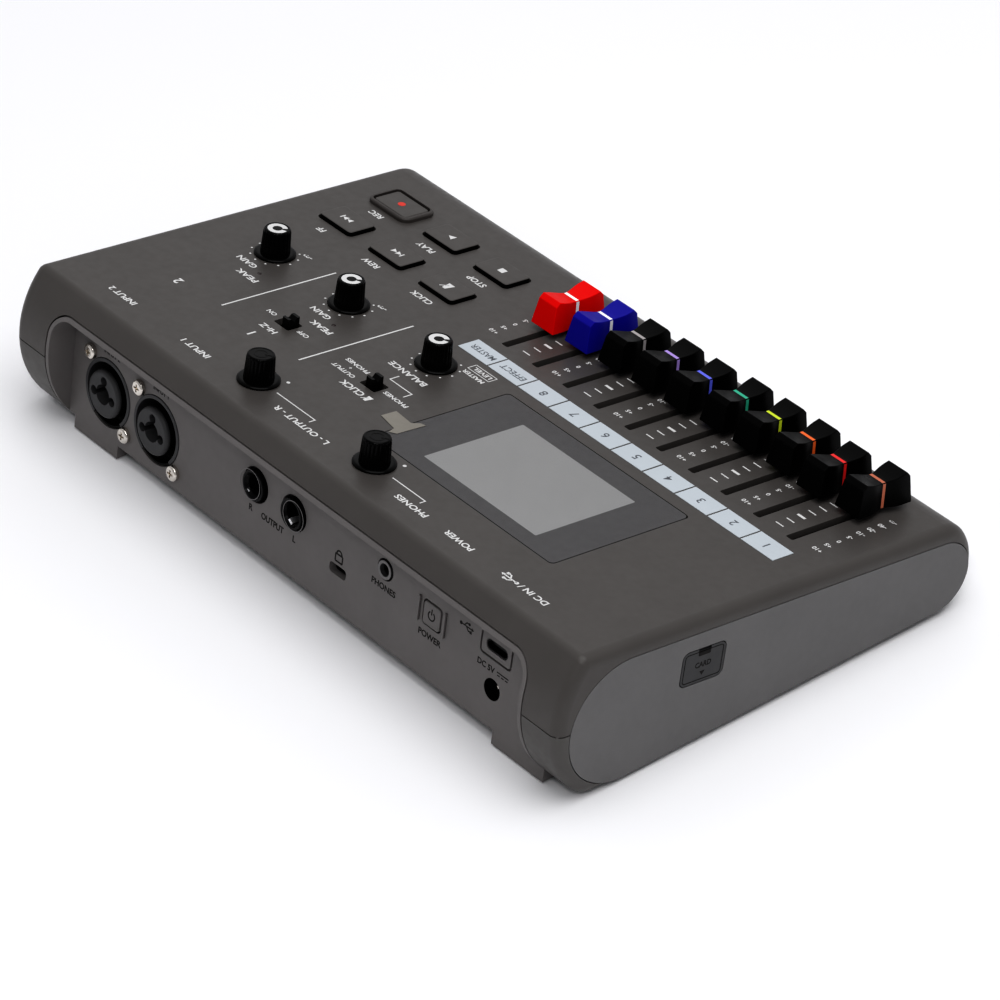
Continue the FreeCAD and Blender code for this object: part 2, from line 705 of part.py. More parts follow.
def jack_screw(x, w):
    """Pan-head screw with a cross recess."""
    top, reach, slit = PANEL_FACE + JACK_SCREW_PROUD, 1.3, 0.3
    head = round_level(rod(x, w, PANEL_FACE, top, JACK_SCREW_HEAD), 0.9, V_AXIS, top)
    recess = [
        block(x - half_x, x + half_x, top - 0.8, top + 1, w - half_w, w + half_w)
        for half_x, half_w in ((reach, slit), (slit, reach))
    ]
    return fuse_all(cut_all(head, recess), rod(x, w, PANEL_FACE - 8, PANEL_FACE, SCREW_RADIUS))


def make_jack_screws():
    return group([jack_screw(x + dx, w + dw) for x, w in INPUTS for dx, dw in INPUT_SCREWS])


def collared_jack(place, outer, collar, funnel, proud, plug, body_size, depth):
    """Socket body behind the panel, with a grooved bush and a proud collar round the plug's bore."""
    x, w = place
    back, collar_face = PANEL_FACE - PANEL_THICK - 0.1, PANEL_FACE + proud
    body = rear_plate(place, body_size, PANEL_FACE - depth - 1.5, back, 0.6)
    bush = rod(x, w, back - 1, PANEL_FACE - JACK_SINK, outer)
    lip = round_level(rod(x, w, back - 1, collar_face, collar), 0.3, V_AXIS, collar_face)
    bore = rod(x, w, PANEL_FACE - depth, collar_face + 1, plug)
    mouth = Part.makeCone(plug, funnel, FUNNEL_DEPTH, Vector(x, collar_face - FUNNEL_DEPTH, w), V_AXIS)
    return fuse_all(body, bush, lip).cut(bore).cut(mouth)


def make_output_jacks():
    depth = PANEL_FACE - JACK_BACK - 1.5
    return group([
        collared_jack(place, OUTPUT_RADIUS, OUTPUT_COLLAR, OUTPUT_FUNNEL, OUTPUT_PROUD, PLUG_RADIUS,
                      (14.0, 13.0), depth)
        for place in OUTPUTS
    ])


def make_phones_jack():
    return collared_jack(PHONES_JACK, PHONES_RADIUS, PHONES_COLLAR, PHONES_FUNNEL, PHONES_PROUD,
                         MINI_PLUG_RADIUS, (8.0, 7.2), PHONES_DEPTH)


def make_usb_port():
    """Stamped shell with a contact tongue."""
    back, face = PANEL_FACE - USB_DEPTH, PANEL_FACE - 0.2
    shell = rear_plate(USB, USB_SIZE, back, face, USB_SIZE[1] / 2 - 0.01)
    inside = (USB_SIZE[0] - 0.7, USB_SIZE[1] - 0.7)
    hollow = rear_plate(USB, inside, back + 1, PANEL_FACE + 1, inside[1] / 2 - 0.01)
    tongue = rear_plate(USB, (6.6, 0.7), back + 0.5, face - 1.2, 0.2)
    return fuse_all(shell.cut(hollow), tongue)


def make_dc_jack():
    """Supply socket with its centre pin."""
    x, w = DC
    floor = PANEL_FACE - 12
    body = rear_plate(DC, (9.0, 10.5), floor - 1, PANEL_FACE - PANEL_THICK - 0.1, 0.5)
    tip = PANEL_FACE - 3.4
    pin = round_level(rod(x, w, floor - 0.5, tip, DC_PIN), 0.5, V_AXIS, tip)
    return fuse_all(body.cut(rod(x, w, floor, PANEL_FACE, DC_RADIUS - GAP)), pin)


def make_power_button():
    face, back = PANEL_FACE + 0.3, PANEL_FACE - POWER_THICK
    size = (POWER_SIZE, POWER_SIZE)
    button = round_level(rear_plate(POWER, size, back, face, 1.1), 0.3, V_AXIS, face)
    stem = rear_plate(POWER, (2.4, 2.4), PANEL_FACE - POWER_STEM, back, 0.2)
    return fuse_all(button, stem)


def make_jack_boards():
    """Upright board behind the large sockets, and a small one behind the supply inlets."""
    return group([
        block(-30, 110, JACK_BACK - BOARD_THICK, JACK_BACK, -40.5, -17.5),
        block(-104, -54, INLET_BACK - BOARD_THICK, INLET_BACK, -38.5, -16.5),
    ])


def make_power_switch():
    """Push switch that the power button's stem works on."""
    tip = PANEL_FACE - POWER_STEM - POWER_TRAVEL - GAP
    return rear_plate(POWER, (6.2, 6.2), INLET_BACK, tip, 0.4)


# ---- controls on the top panel -----------------------------------------------------------------
def cap_section(v):
    """Half width at the foot, half width at the crown, and crown height of a fader cap."""
    waist = math.cos(math.pi / 2 * min(abs(v) / CAP_RIDGE_FROM_LINE, 1.0)) ** 1.5
    foot = CAP_WIDTH / 2 - waist * (CAP_WIDTH - CAP_WAIST) / 2
    crown = CAP_TOP_WIDTH / 2 - waist * (CAP_TOP_WIDTH - CAP_WAIST + 0.4) / 2
    rise = CAP_VALLEY + (CAP_RIDGE - CAP_VALLEY) * min(abs(v) / CAP_RIDGE_FROM_LINE, 1.0)
    if abs(v) > CAP_RIDGE_FROM_LINE:
        beyond = (abs(v) - CAP_RIDGE_FROM_LINE) / (CAP_LENGTH / 2 - CAP_RIDGE_FROM_LINE)
        rise -= CAP_END_DROP * beyond
    return foot, crown, rise


def make_fader_cap(index):
    """Saddle-shaped cap with a waist at its pointer line, and the stem through the slot."""
    x, line = fader_x(index), FADER_REST[index]
    stations = []
    half = CAP_LENGTH / 2
    for v in (-half, -CAP_RIDGE_FROM_LINE, -5.0, -2.2, 0.0, 2.2, 5.0, CAP_RIDGE_FROM_LINE, half):
        foot, crown, rise = cap_section(v)
        corners = [
            Vector(x - foot, line + v, CAP_FOOT),
            Vector(x + foot, line + v, CAP_FOOT),
            Vector(x + crown, line + v, rise),
            Vector(x - crown, line + v, rise),
        ]
        stations.append(Part.makePolygon(corners + [corners[0]]))
    cap = Part.makeLoft(stations, True, True)
    half_stem = STEM_LENGTH / 2
    stem = block(x - STEM_WIDTH / 2, x + STEM_WIDTH / 2, line - half_stem, line + half_stem,
                 STEM_BOTTOM, CAP_FOOT + 1)
    return fuse_all(cap, stem)


def fader_unit(x):
    half, front, rear = UNIT_WIDTH / 2, SLOT_FRONT - UNIT_OVERHANG, SLOT_REAR + UNIT_OVERHANG
    can = block(x - half, x + half, front, rear, BOARD_TOP, UNIT_TOP)
    way = STEM_WIDTH / 2 + GAP
    return can.cut(block(x - way, x + way, SLOT_FRONT, SLOT_REAR, STEM_BOTTOM - 1, UNIT_TOP + 1))


def make_fader_units():
    """Ten slide potentiometers under the panel."""
    return group([fader_unit(fader_x(index)) for index in range(len(TRACKS))])


def make_knob(x, v):
    """Fluted knob with a skirt, one piece with its shaft."""
    skirt = Part.makeCone(KNOB_FLANGE, KNOB_FLANGE - 0.4, SKIRT_THICK, Vector(x, v, SKIRT_LIFT), W_AXIS)
    foot = SKIRT_LIFT + SKIRT_THICK
    body = Part.makeCone(KNOB_BASE, KNOB_TOP, KNOB_HEIGHT - foot, Vector(x, v, foot), W_AXIS)
    flutes = []
    for step in range(KNOB_FLUTES):
        angle = 2 * math.pi * step / KNOB_FLUTES
        reach = KNOB_BASE + FLUTE_RADIUS / 2
        flutes.append(post(x + reach * math.cos(angle), v + reach * math.sin(angle),
                           foot + 0.3, KNOB_HEIGHT - 0.8, FLUTE_RADIUS))
    shaft = post(x, v, SHAFT_BOTTOM, SKIRT_LIFT + 0.5, SHAFT_RADIUS)
    return fuse_all(cut_all(body, flutes), skirt, shaft)


def make_pots():
    return group([
        centred_plate(x, v, (9.6, 11.0), BOARD_TOP, SHAFT_BOTTOM - GAP, 0.8)
        for x, v in KNOBS.values()
    ])


def make_key(x, v):
    """Flat-topped key with a plunger underneath."""
    top = centred_plate(x, v, KEY_SIZE, KEY_SHOULDER, KEY_PROUD, KEY_CORNER)
    top = round_level(top, 0.35, W_AXIS, KEY_PROUD)
    return fuse_all(top, post(x, v, KEY_PLUNGER, KEY_SHOULDER, 2.0))


def make_key_switches():
    """Tactile switch under each key."""
    switches = []
    shoulder = BOARD_TOP + 4.0
    for x, v in KEYS.values():
        body = centred_plate(x, v, (6.2, 6.2), BOARD_TOP, shoulder, 0.5)
        tip = post(x, v, shoulder, KEY_PLUNGER - KEY_TRAVEL - GAP, 1.7)
        switches.append(fuse_all(body, tip))
    return group(switches)


def make_switch_lever(x, v, offset):
    """Slide switch lever with a notch across its top."""
    lever = centred_plate(x + offset, v, SWITCH_LEVER, LEVER_BOTTOM, SWITCH_PROUD, 0.3)
    half = SWITCH_LEVER[1] / 2
    notch = profile_prism([
        (v - half + 0.9, SWITCH_PROUD + 0.1),
        (v + half - 0.9, SWITCH_PROUD + 0.1),
        (v, SWITCH_PROUD - 1.3),
    ], x - 5, x + 5)
    return lever.cut(notch)


def make_switch_bodies():
    return group([
        centred_plate(x, v, (10.0, 7.0), BOARD_TOP, LEVER_BOTTOM - GAP, 0.4)
        for x, v, _ in SWITCHES.values()
    ])


def make_lamps():
    """Small light pipes between the panel and the board."""
    return group([post(x, v, BOARD_TOP, -0.1, LAMP_RADIUS - 0.05) for x, v in PEAK_LAMPS])


def make_screen_film():
    """Protective film on the lens with its pull tab."""
    x0, x1, v0, v1 = LENS
    inset = FILM_INSET
    sheet = plate(x0 + inset, x1 - inset, v0 + inset, v1 - inset, 0.0, FILM_THICK, 1.2)
    tab = prism([Vector(x, v, 0.0) for x, v in FILM_TAB], Vector(0, 0, FILM_THICK))
    return fuse_all(sheet, tab)


def make_lcd_module():
    x0, x1, v0, v1 = LCD_VIEW
    grow = LCD_MARGIN - GAP
    return block(x0 - grow, x1 + grow, v0 - grow, v1 + grow, LCD_BACK, -LENS_THICK - 0.1)


def make_track_labels():
    """A writable label tile behind each fader."""
    x0, x1, v0, v1 = TILE_STRIP
    pitch = (x1 - x0) / len(TRACKS)
    half = (pitch - TILE_GAP) / 2
    middles = [x0 + pitch * (step + 0.5) for step in range(len(TRACKS))]
    return group([block(x - half, x + half, v0, v1, 0.0, LABEL_THICK) for x in middles])


def make_main_board():
    board = plate(-118, 118, -88, 30, BOARD_TOP - BOARD_THICK, BOARD_TOP, 3.0)
    bosses = [stand_post(x, v, 0, BOSS_HEIGHT + 6, BOSS_RADIUS + 0.5) for x, v in CASE_SCREWS]
    return cut_all(board, bosses)


def make_left_inlay():
    """Inlay on the user's left, with the card door's opening."""
    inlay = inlay_prism(-HALF, -HALF + INLAY_THICK, 0)
    return inlay.cut(door_prism(-HALF - 1, -HALF + INLAY_THICK + 1, GAP))


def make_card_door():
    """Soft card door with a fingernail notch in its upper edge."""
    door = door_prism(-HALF, -HALF + INLAY_THICK - 0.2, 0)
    v, w = DOOR_CENTRE
    top = w + DOOR_SIZE[1] / 2
    nick = block(-HALF - 1, -HALF + 0.9, v - 2.4, v + 2.4, top - 0.9, top + 1)
    return door.cut(nick)


def make_card_socket():
    v, w = DOOR_CENTRE
    x0 = -HALF + SIDE_WALL + 0.3
    top = BOARD_TOP - BOARD_THICK
    body = block(x0, x0 + 15, v - 7.2, v + 7.2, top - 2.6, top)
    slot = block(x0 - 1, x0 + 13, v - 5.6, v + 5.6, w - 0.6, w + 0.4)
    return body.cut(slot)


# ---- the whole recorder ------------------------------------------------------------------------
def stand(shape):
    """Tilt a shape from the panel frame onto the table, origin under the middle of the case."""
    shape = shape.copy()
    shape.rotate(Vector(0, 0, 0), X_AXIS, PANEL_SLOPE)
    shape.translate(Vector(0, -FOOTPRINT_MIDDLE, FLOOR_OFFSET))
    return shape


def build():
    """Every sub-part, by node name, in the panel frame."""
    outer = outer_solid()
    top_blank, bottom_blank = case_blanks(outer)
    nodes = {
        "top_case": make_top_case(top_blank),
        "bottom_case": make_bottom_case(bottom_blank),
        "record_ring": make_record_ring(),
        "rear_panel": make_rear_panel(outer),
        "left_inlay": make_left_inlay(),
        "right_inlay": inlay_prism(HALF - INLAY_THICK, HALF, 0),
        "display_lens": plate(*LENS, -LENS_THICK, 0.0, LENS_CORNER),
        "lcd_module": make_lcd_module(),
        "screen_film": make_screen_film(),
        "track_labels": make_track_labels(),
        "main_board": make_main_board(),
        "jack_boards": make_jack_boards(),
        "potentiometers": make_pots(),
        "fader_units": make_fader_units(),
        "key_switches": make_key_switches(),
        "slide_switch_bodies": make_switch_bodies(),
        "peak_lamps": make_lamps(),
        "jack_screws": make_jack_screws(),
        "output_jacks": make_output_jacks(),
        "phones_jack": make_phones_jack(),
        "usb_port": make_usb_port(),
        "dc_jack": make_dc_jack(),
        "power_button": make_power_button(),
        "power_switch": make_power_switch(),
        "card_door": make_card_door(),
        "card_socket": make_card_socket(),
        "battery_cover": make_battery_cover(),
        "battery_cells": make_cells(),
        "battery_contacts": make_contacts(),
        "feet": make_feet(),
        "case_screws": make_case_screws(),
    }
    for number, place in ((2, INPUTS[0]), (1, INPUTS[1])):
        nodes[f"input_{number}_jack"] = make_input_jack(place)
        nodes[f"input_{number}_latch"] = make_latch(place)
    for index, track in enumerate(TRACKS):
        nodes[f"fader_cap_{track}"] = make_fader_cap(index)
    for name, (x, v) in KNOBS.items():
        nodes[name] = make_knob(x, v)
    for name, (x, v) in KEYS.items():
        nodes[name] = make_key(x, v)
    for name, (x, v, offset) in SWITCHES.items():
        nodes[name] = make_switch_lever(x, v, offset)
    return nodes


os.makedirs("parts", exist_ok=True)
for name, shape in build().items():
    stand(shape).exportStep(f"parts/{name}.step")
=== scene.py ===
import json
import math

import bmesh
import bpy
from mathutils import Matrix, Vector


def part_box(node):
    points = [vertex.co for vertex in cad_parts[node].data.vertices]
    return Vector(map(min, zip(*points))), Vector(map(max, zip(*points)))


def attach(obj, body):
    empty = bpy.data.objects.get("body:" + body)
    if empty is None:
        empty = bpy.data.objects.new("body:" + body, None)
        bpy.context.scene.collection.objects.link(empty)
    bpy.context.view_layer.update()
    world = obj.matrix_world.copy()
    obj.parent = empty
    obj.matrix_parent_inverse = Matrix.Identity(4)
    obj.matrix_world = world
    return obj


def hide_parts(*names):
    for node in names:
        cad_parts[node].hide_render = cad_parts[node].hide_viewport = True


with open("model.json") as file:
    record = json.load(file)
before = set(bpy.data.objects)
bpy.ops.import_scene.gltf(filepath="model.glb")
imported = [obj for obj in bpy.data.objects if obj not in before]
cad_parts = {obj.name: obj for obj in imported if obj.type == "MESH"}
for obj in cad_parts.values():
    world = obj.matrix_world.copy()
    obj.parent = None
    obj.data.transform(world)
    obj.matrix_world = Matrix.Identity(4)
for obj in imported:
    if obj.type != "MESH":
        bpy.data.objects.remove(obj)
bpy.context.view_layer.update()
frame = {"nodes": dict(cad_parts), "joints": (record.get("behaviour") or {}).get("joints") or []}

# Looks of the field recorder. Pieces are drawn in millimetres in one of three base frames and
# placed by a matrix worked out from the CAD frame, so nothing is fitted by eye:
#   PANEL  x to the user's right, y along the top panel to the rear, z out of the panel
#   REAR   the connector panel seen from behind: x to the viewer's right, y up, z outwards
#   LEFT   the user's left end seen from outside: x to the viewer's right, y up, z outwards
MM = 0.001

# ---- sizes of what only the looks hold, in millimetres --------------------------------------
INK = 0.04                  # thickness of printed marks
SUNK = 0.05                 # how far a mark starts under the surface that it is printed on
LABEL = 2.15                # height of capitals on the panel
SMALL_LABEL = 1.6
LETTER_WEIGHT = 0.024       # how much a letter's strokes grow, as a share of its size
TILE_WEIGHT = 0.004
THIN_LINE = 0.4
SEPARATOR_LINE = 0.55

# fader caps, about their pointer line
CAP_FOOT = 2.0              # height of a cap's lower edge over the panel
CAP_RIDGE = 8.1             # distance of its crests from its pointer line
CAP_PINCH = 6.0             # distance over which its waist widens
CAP_STEPS = (1.8, 3.1, 4.4)     # where the waist's curve is drawn in between
CAP_LINE = 0.58             # half width of the pointer line
CAP_WAIST_FOOT = 3.7
CAP_WAIST_CROWN = 3.05
CAP_CROWN = 4.05
CAP_VALLEY = 1.8            # drop from the crests to the pointer line
CAP_FACET = (1.2, 1.4)      # an end's top edge: distance from the end, drop from the crest
CAP_LEVER = (1.4, 3.5)
CAP_BEVEL = 0.25

# knobs
KNOB_DROP = 0.4             # how far the crown stands under the top of the CAD knob
KNOB_SHAFT = 3.0
KNOB_FLUTES = 20
SKIRT = ((0.4, 0.12), (0.0, 0.25), (0.0, 0.6), (0.3, 0.9), (0.9, 1.0))     # inset and height
SKIRT_TOP = (4.9, 1.12)     # radius and height
BODY_FOOT = ((4.7, 1.0, 0.0), (4.68, 1.4, 0.32))    # radius, height and flute depth
BODY_CROWN = ((4.35, 1.0, 0.3), (4.22, 0.5, 0.12), (4.05, 0.15, 0.0), (3.8, 0.0, 0.0),
              (3.5, 0.0, 0.0), (3.4, 0.12, 0.0))    # radius, drop from the top and flute depth
CROWN_DISH = 0.12           # how far the crown's face is sunk
RING_OUTER = 3.15           # white ring on a knob's crown
RING_INNER = 1.55
RING_GAP = 14.004           # half of the ring's gap at the pointer, degrees
POINTER_TURN = 219.0        # direction of a knob's pointer at its lower stop, degrees

# keys
KEY_NAMES = {"record": "REC", "play": "PLAY", "stop": "STOP",
             "forward": "FF", "rewind": "REW", "click": "CLICK"}
KEY_CORNER = 1.2
KEY_FOOT = -1.6
KEY_EDGE = ((0.0, 0.35), (0.08, 0.17), (0.25, 0.04), (0.5, 0.0))    # inset and drop from the top
KEY_STEM = 2.0
KEY_NAME_UP = 10.4          # distance of a key's name behind its middle
RECORD_DOT = 1.3
PLAY_ICON = 2.7
WIND_ICON = 2.2
STOP_ICON = 2.4
CLICK_ICON = 3.6

# dials printed round the knobs
DIAL_RADIUS = 7.7
DIAL_DOTS = 11
DIAL_SWEEP = 300.0
DOT_RADIUS = 0.36
START_DOT = (-5.4, -6.9, 0.6)   # place and radius of the dot beside a plain knob

# display
SCREEN_MARGIN = 2.7         # black border between the screen module's edge and its lit area
WINDOW_LEVELS = (-0.3, 0.01)
FILM_MARGIN = 0.8
FILM_LEVELS = (0.05, 0.09, 0.16)    # underside and top of the film, and top of its tab
FILM_TAB_EDGE = ((-3.0, -17.6), (-1.1, -16.9), (0.2, -14.6), (7.9, -15.2), (8.1, -9.6),
                 (0.3, -8.2), (-0.5, -5.4), (-2.6, -7.0))    # from the lens's rear right corner

# rear sockets
PHONES_PROUD = 0.4          # how far the small socket's collar stands out of the connector panel
PHONES_RIM = (2.05, 2.95)   # inner and outer radius of the painted highlight on its rim
PHONES_BORE = 1.95
OUTPUT_RADIUS = 5.75        # outside radius of an output jack's flange
# inner and outer radius of the painted highlight on an output collar's rim
OUTPUT_RIM = (4.62, 4.86)
OUTPUT_FACE = 1.35          # how far its collar stands out
CONTACT_TURN = math.radians(240)    # where a contact leaf sits in an output jack's funnel
CONTACT_LEAF = ((3.0, -3.0), (2.6, -0.6), (2.9, 0.8))   # distance from the axis, and height
CONTACT_WIDTH = 1.9
CONTACT_THICK = 0.85
DC_RADIUS = 3.4             # radius of the supply socket's hole
SUPPLY_PIN = ((1.0, -11.5), (1.0, -2.8), (0.8, -2.4), (0.45, -2.2))     # radius and height
CORE_RADIUS = 7.7           # radius of an input socket's core
GUARD = (0.8, 8.4)          # width and height of the black slab that paints the shade of a rib beside the power button
GUARD_REACH = 5.7
LOCK_LINE = 0.55
POWER_RING = (1.15, 1.6)    # inner and outer radius of the symbol on the power button

# ---- lettering: words, place to the right and the rear of its control, capitals' height, width ---
INPUT_LABELS = (("INPUT {}", 0.2, 58.0, LABEL, 12.6), ("{}", -0.1, 37.4, 3.1, None),
                ("GAIN", -0.1, 10.9, LABEL, 8.5), ("PEAK", -7.2, 16.4, LABEL, 9.6),
                ("-∞", -6.4, -7.8, 2.0, None))
HI_Z_MIDDLE = 2.6           # distance of the switch's middle from its slider's left edge
HI_Z_LABELS = (("Hi-Z", 0.6, 7.2, LABEL, 7.0), ("OFF", -7.4, 0.1, SMALL_LABEL, 4.6),
               ("ON", 7.9, 0.1, SMALL_LABEL, 3.8))
CLICK_OUT_LABELS = (("CLICK", 1.8, 7.0, 2.35, 10.2), ("PHONES", -10.0, -0.1, SMALL_LABEL, 10.4),
                    ("OUTPUT", 11.4, 2.6, SMALL_LABEL, 10.0), ("+", 11.4, -0.1, 1.3, None),
                    ("PHONES", 11.4, -2.8, SMALL_LABEL, 10.2))
BALANCE_LABELS = (("BALANCE", -0.2, 11.0, 2.25, 16.4), ("MASTER", -10.9, -5.5, SMALL_LABEL, 9.2),
                  ("LEVEL", -10.85, -9.2, SMALL_LABEL, 7.8))
LEVEL_BOX = (-10.85, -9.2, 9.7, 3.4)    # place, width and height of the frame round LEVEL
BALANCE_LINK = ((-10.6, 21.2), (-10.6, 17.8), (-0.2, 17.8), (-0.2, 14.3))
REAR_ROW = 5.1              # distance of the rear row of names behind the plain knobs
REAR_ROW_LABELS = (("output_knob", "L - OUTPUT - R", -26.9, 0.0, 24.6),
                   ("phones_knob", "PHONES", -23.8, 0.5, 13.6),
                   ("power_button", "POWER", 0.1, 0.6, 11.9), ("usb_port", "DC IN /", -4.7, 0.8, 11.6))
BRACKETS = (("output_knob", -26.8, -3.0, 2.3, 18.2),    # start, drop and reach of a bracket
            ("phones_knob", -23.8, -2.6, 2.1, 14.9))
SEPARATORS = ((1, 20.0), (2, 18.8))     # distance of a dividing line to the left of an input's knob
SEPARATOR_ENDS = (34.9, -9.3)
SCALE = ("+10", "+5", "0", "-5", "-10", "-20", "-40", "-∞")
SCALE_NUMERAL = 1.5
SCALE_TICK = (3.2, 0.45)    # width and height of a tick
ZERO_TICK = 0.95
TILE_NAMES = (2.3, 10.4)    # capitals' height and width of a tile's word
TILE_NUMBERS = 2.9
# node behind the label, words, place from its middle, capitals' height and width
REAR_LABELS = (("phones_jack", "PHONES", 0.0, -5.8, 1.9, 10.8),
               ("power_button", "POWER", 0.0, -7.1, 1.9, 10.0),
               ("usb_port", "DC 5V", -3.6, -7.2, 1.8, 7.4))

# ---- light: strength of the surroundings near the camera and beyond the recorder, and watts -----
SURROUND = (0.42, 0.72)
FILL = 2.6                  # small soft box near the camera
OVERHEAD = 12.5             # overhead soft box
SHEEN = 0.7                 # soft box that the top panel mirrors at its far corner
EXPOSURE = -0.42
FLOOR_WIDTH = 12.0          # metres


# ---- base frames -----------------------------------------------------------------------------
def joint_of(name):
    return next(joint for joint in frame["joints"] if joint["name"] == name)


def panel_frame():
    """Matrix from the panel's millimetres to the frame's metres."""
    turn = joint_of("balance_turn")
    out = -Vector(turn["axis"])
    rear = Vector((0, out.z, -out.y))
    low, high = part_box("lcd_module")
    middle = (low + high) / 2
    origin = middle + out * (Vector(turn["pos_m"]) - middle).dot(out)
    origin.x = 0
    axes = Matrix(((1, 0, 0), rear, out)).transposed().to_4x4()
    return Matrix.Translation(origin) @ axes @ Matrix.Scale(MM, 4)


def turned(base, x_axis, y_axis, z_axis):
    """The base frame with its axes renamed."""
    return base @ Matrix((x_axis, y_axis, z_axis)).transposed().to_4x4()


PANEL = panel_frame()
REAR = turned(PANEL, (-1, 0, 0), (0, 0, 1), (0, 1, 0))
LEFT = turned(PANEL, (0, -1, 0), (0, 0, 1), (-1, 0, 0))


def place(node, base=PANEL):
    """Lowest and highest corner of a CAD node, in a base frame's millimetres."""
    inverse = base.inverted()
    points = [inverse @ vertex.co for vertex in frame["nodes"][node].data.vertices]
    return [Vector(pick(point[axis] for point in points) for axis in range(3)) for pick in (min, max)]


def middle_of(node, base=PANEL):
    low, high = place(node, base)
    return (low + high) / 2


# ---- outlines --------------------------------------------------------------------------------
def arc(x, y, radius, start, end, steps):
    """Points on an arc, angles in degrees."""
    turns = [math.radians(start + (end - start) * step / steps) for step in range(steps + 1)]
    return [(x + radius * math.cos(turn), y + radius * math.sin(turn)) for turn in turns]


def circle(x, y, radius, steps=24):
    return arc(x, y, radius, 0, 360, steps)[:-1]


def box_outline(x, y, width, height, corner=0.0, steps=5):
    """Rectangle centred on a point, with rounded corners."""
    half_x, half_y = width / 2, height / 2
    if not corner:
        return [(x - half_x, y - half_y), (x + half_x, y - half_y),
                (x + half_x, y + half_y), (x - half_x, y + half_y)]
    outline = []
    for quarter, (side_x, side_y) in enumerate(((1, 1), (-1, 1), (-1, -1), (1, -1))):
        centre = (x + side_x * (half_x - corner), y + side_y * (half_y - corner))
        outline += arc(*centre, corner, quarter * 90, quarter * 90 + 90, steps)
    return outline


def ribbon(points, width):
    """Outline of a line of some width through points, mitred at its bends."""
    points = [Vector(point) for point in points]
    runs = [(after - before).normalized() for before, after in zip(points, points[1:])]
    left, right = [], []
    for index, point in enumerate(points):
        before, after = runs[max(index - 1, 0)], runs[min(index, len(runs) - 1)]
        side = Vector((-(before + after).y, (before + after).x)).normalized()
        reach = width / 2 / max(side.dot(Vector((-before.y, before.x))), 0.3)
        left.append(tuple(point + side * reach))
        right.append(tuple(point - side * reach))
    return right + left[::-1]


# ---- solids gathered into pieces ---------------------------------------------------------------
class Build:
    """Solids drawn in one base frame, turned into one piece at the end."""

    def __init__(self, base=PANEL):
        self.base = base
        self.points, self.faces, self.marks = [], [], []

    def add(self, points, faces, marks):
        """Points and faces, with a material mark for each face."""
        start = len(self.points)
        self.points += [Vector(point) for point in points]
        self.faces += [[start + index for index in face] for face in faces]
        self.marks += marks

    def loft(self, sections, mark=0, marks=None):
        """Skin over sections of equal length, closed at both ends; marks give each band its own."""
        count, bands = len(sections[0]), len(sections) - 1
        faces = [[band * count + i, band * count + (i + 1) % count,
                  (band + 1) * count + (i + 1) % count, (band + 1) * count + i]
                 for band in range(bands) for i in range(count)]
        faces += [list(reversed(range(count))), list(range(bands * count, (bands + 1) * count))]
        band_marks = [band_mark for band_mark in marks or [mark] * bands for _ in range(count)]
        self.add([point for section in sections for point in section], faces,
                 band_marks + [mark, mark])

    def loop(self, sections, mark=0):
        """Skin over sections that run round to the first again."""
        count, turns = len(sections[0]), len(sections)
        faces = [[after * count + i, after * count + (i + 1) % count,
                  before * count + (i + 1) % count, before * count + i]
                 for before, after in ((turn, (turn + 1) % turns) for turn in range(turns))
                 for i in range(count)]
        self.add([point for section in sections for point in section], faces, [mark] * len(faces))

    def slab(self, outline, low, high, mark=0):
        """Prism of an (x, y) outline between two heights."""
        self.loft([[(x, y, z) for x, y in outline] for z in (low, high)], mark)

    def ring(self, x, y, inner, outer, low, high, start=0.0, end=360.0, mark=0, steps=40):
        """Flat ring, or part of one, as a closed solid."""
        sections = [[(x + px * inner, y + py * inner, low), (x + px * outer, y + py * outer, low),
                     (x + px * outer, y + py * outer, high), (x + px * inner, y + py * inner, high)]
                    for px, py in arc(0, 0, 1, start, end, steps)]
        if end - start < 360:
            self.loft([section[::-1] for section in sections], mark)
        else:
            self.loop(sections[:-1], mark)

    def lathe(self, x, y, profile, steps=48):
        """Turned solid of (radius, height) pairs from its foot to its crown."""
        self.loft([[(x + px * radius, y + py * radius, height) for px, py in circle(0, 0, 1, steps)]
                   for radius, height in profile])

    def ink(self, outline):
        """Printed mark with an (x, y) outline."""
        self.slab(outline, 0, INK)

    def line(self, points, width):
        """Printed line of some width through points."""
        self.ink(ribbon(points, width))

    def border(self, x, y, width, height, thickness):
        """Printed rectangle drawn with four lines."""
        corners = box_outline(x, y, width, height)
        for start, end in zip(corners, corners[1:] + corners[:1]):
            self.line([start, end], thickness)

    def text(self, words, x, y, height, low=0.0, width=None, weight=LETTER_WEIGHT):
        """Centred lettering whose capitals have a given height, optionally fitted to a width."""
        points, faces = letter_mesh(words, height / CAPITAL, weight)
        left, right = min(p.x for p in points), max(p.x for p in points)
        squeeze, middle = width / (right - left) if width else 1.0, (left + right) / 2
        self.add([(x + (p.x - middle) * squeeze, y + p.y - height / 2, low + p.z) for p in points],
                 faces, [0] * len(faces))

    def labels(self, x, y, rows, number=""):
        """Lettering of a table, placed from a control's middle."""
        for words, right, rear, height, width in rows:
            self.text(words.format(number), x + right, y + rear, height, width=width)

    def piece(self, name, body, slot, materials, bevel=0.0, sharp=35.0):
        """Finish the solids as one object that rides on a body."""
        mesh = bpy.data.meshes.new(name)
        mesh.from_pydata([self.base @ point for point in self.points], [], self.faces)
        for material in materials:
            mesh.materials.append(material)
        mesh.polygons.foreach_set("material_index", self.marks)
        if bevel:
            bevel_edges(mesh, bevel * MM)
        mesh.shade_smooth()
        mesh.set_sharp_from_angle(angle=math.radians(sharp))
        piece = bpy.data.objects.new(name, mesh)
        bpy.context.scene.collection.objects.link(piece)
        piece.modifiers.new("normals", "WEIGHTED_NORMAL").keep_sharp = True
        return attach(piece, body)


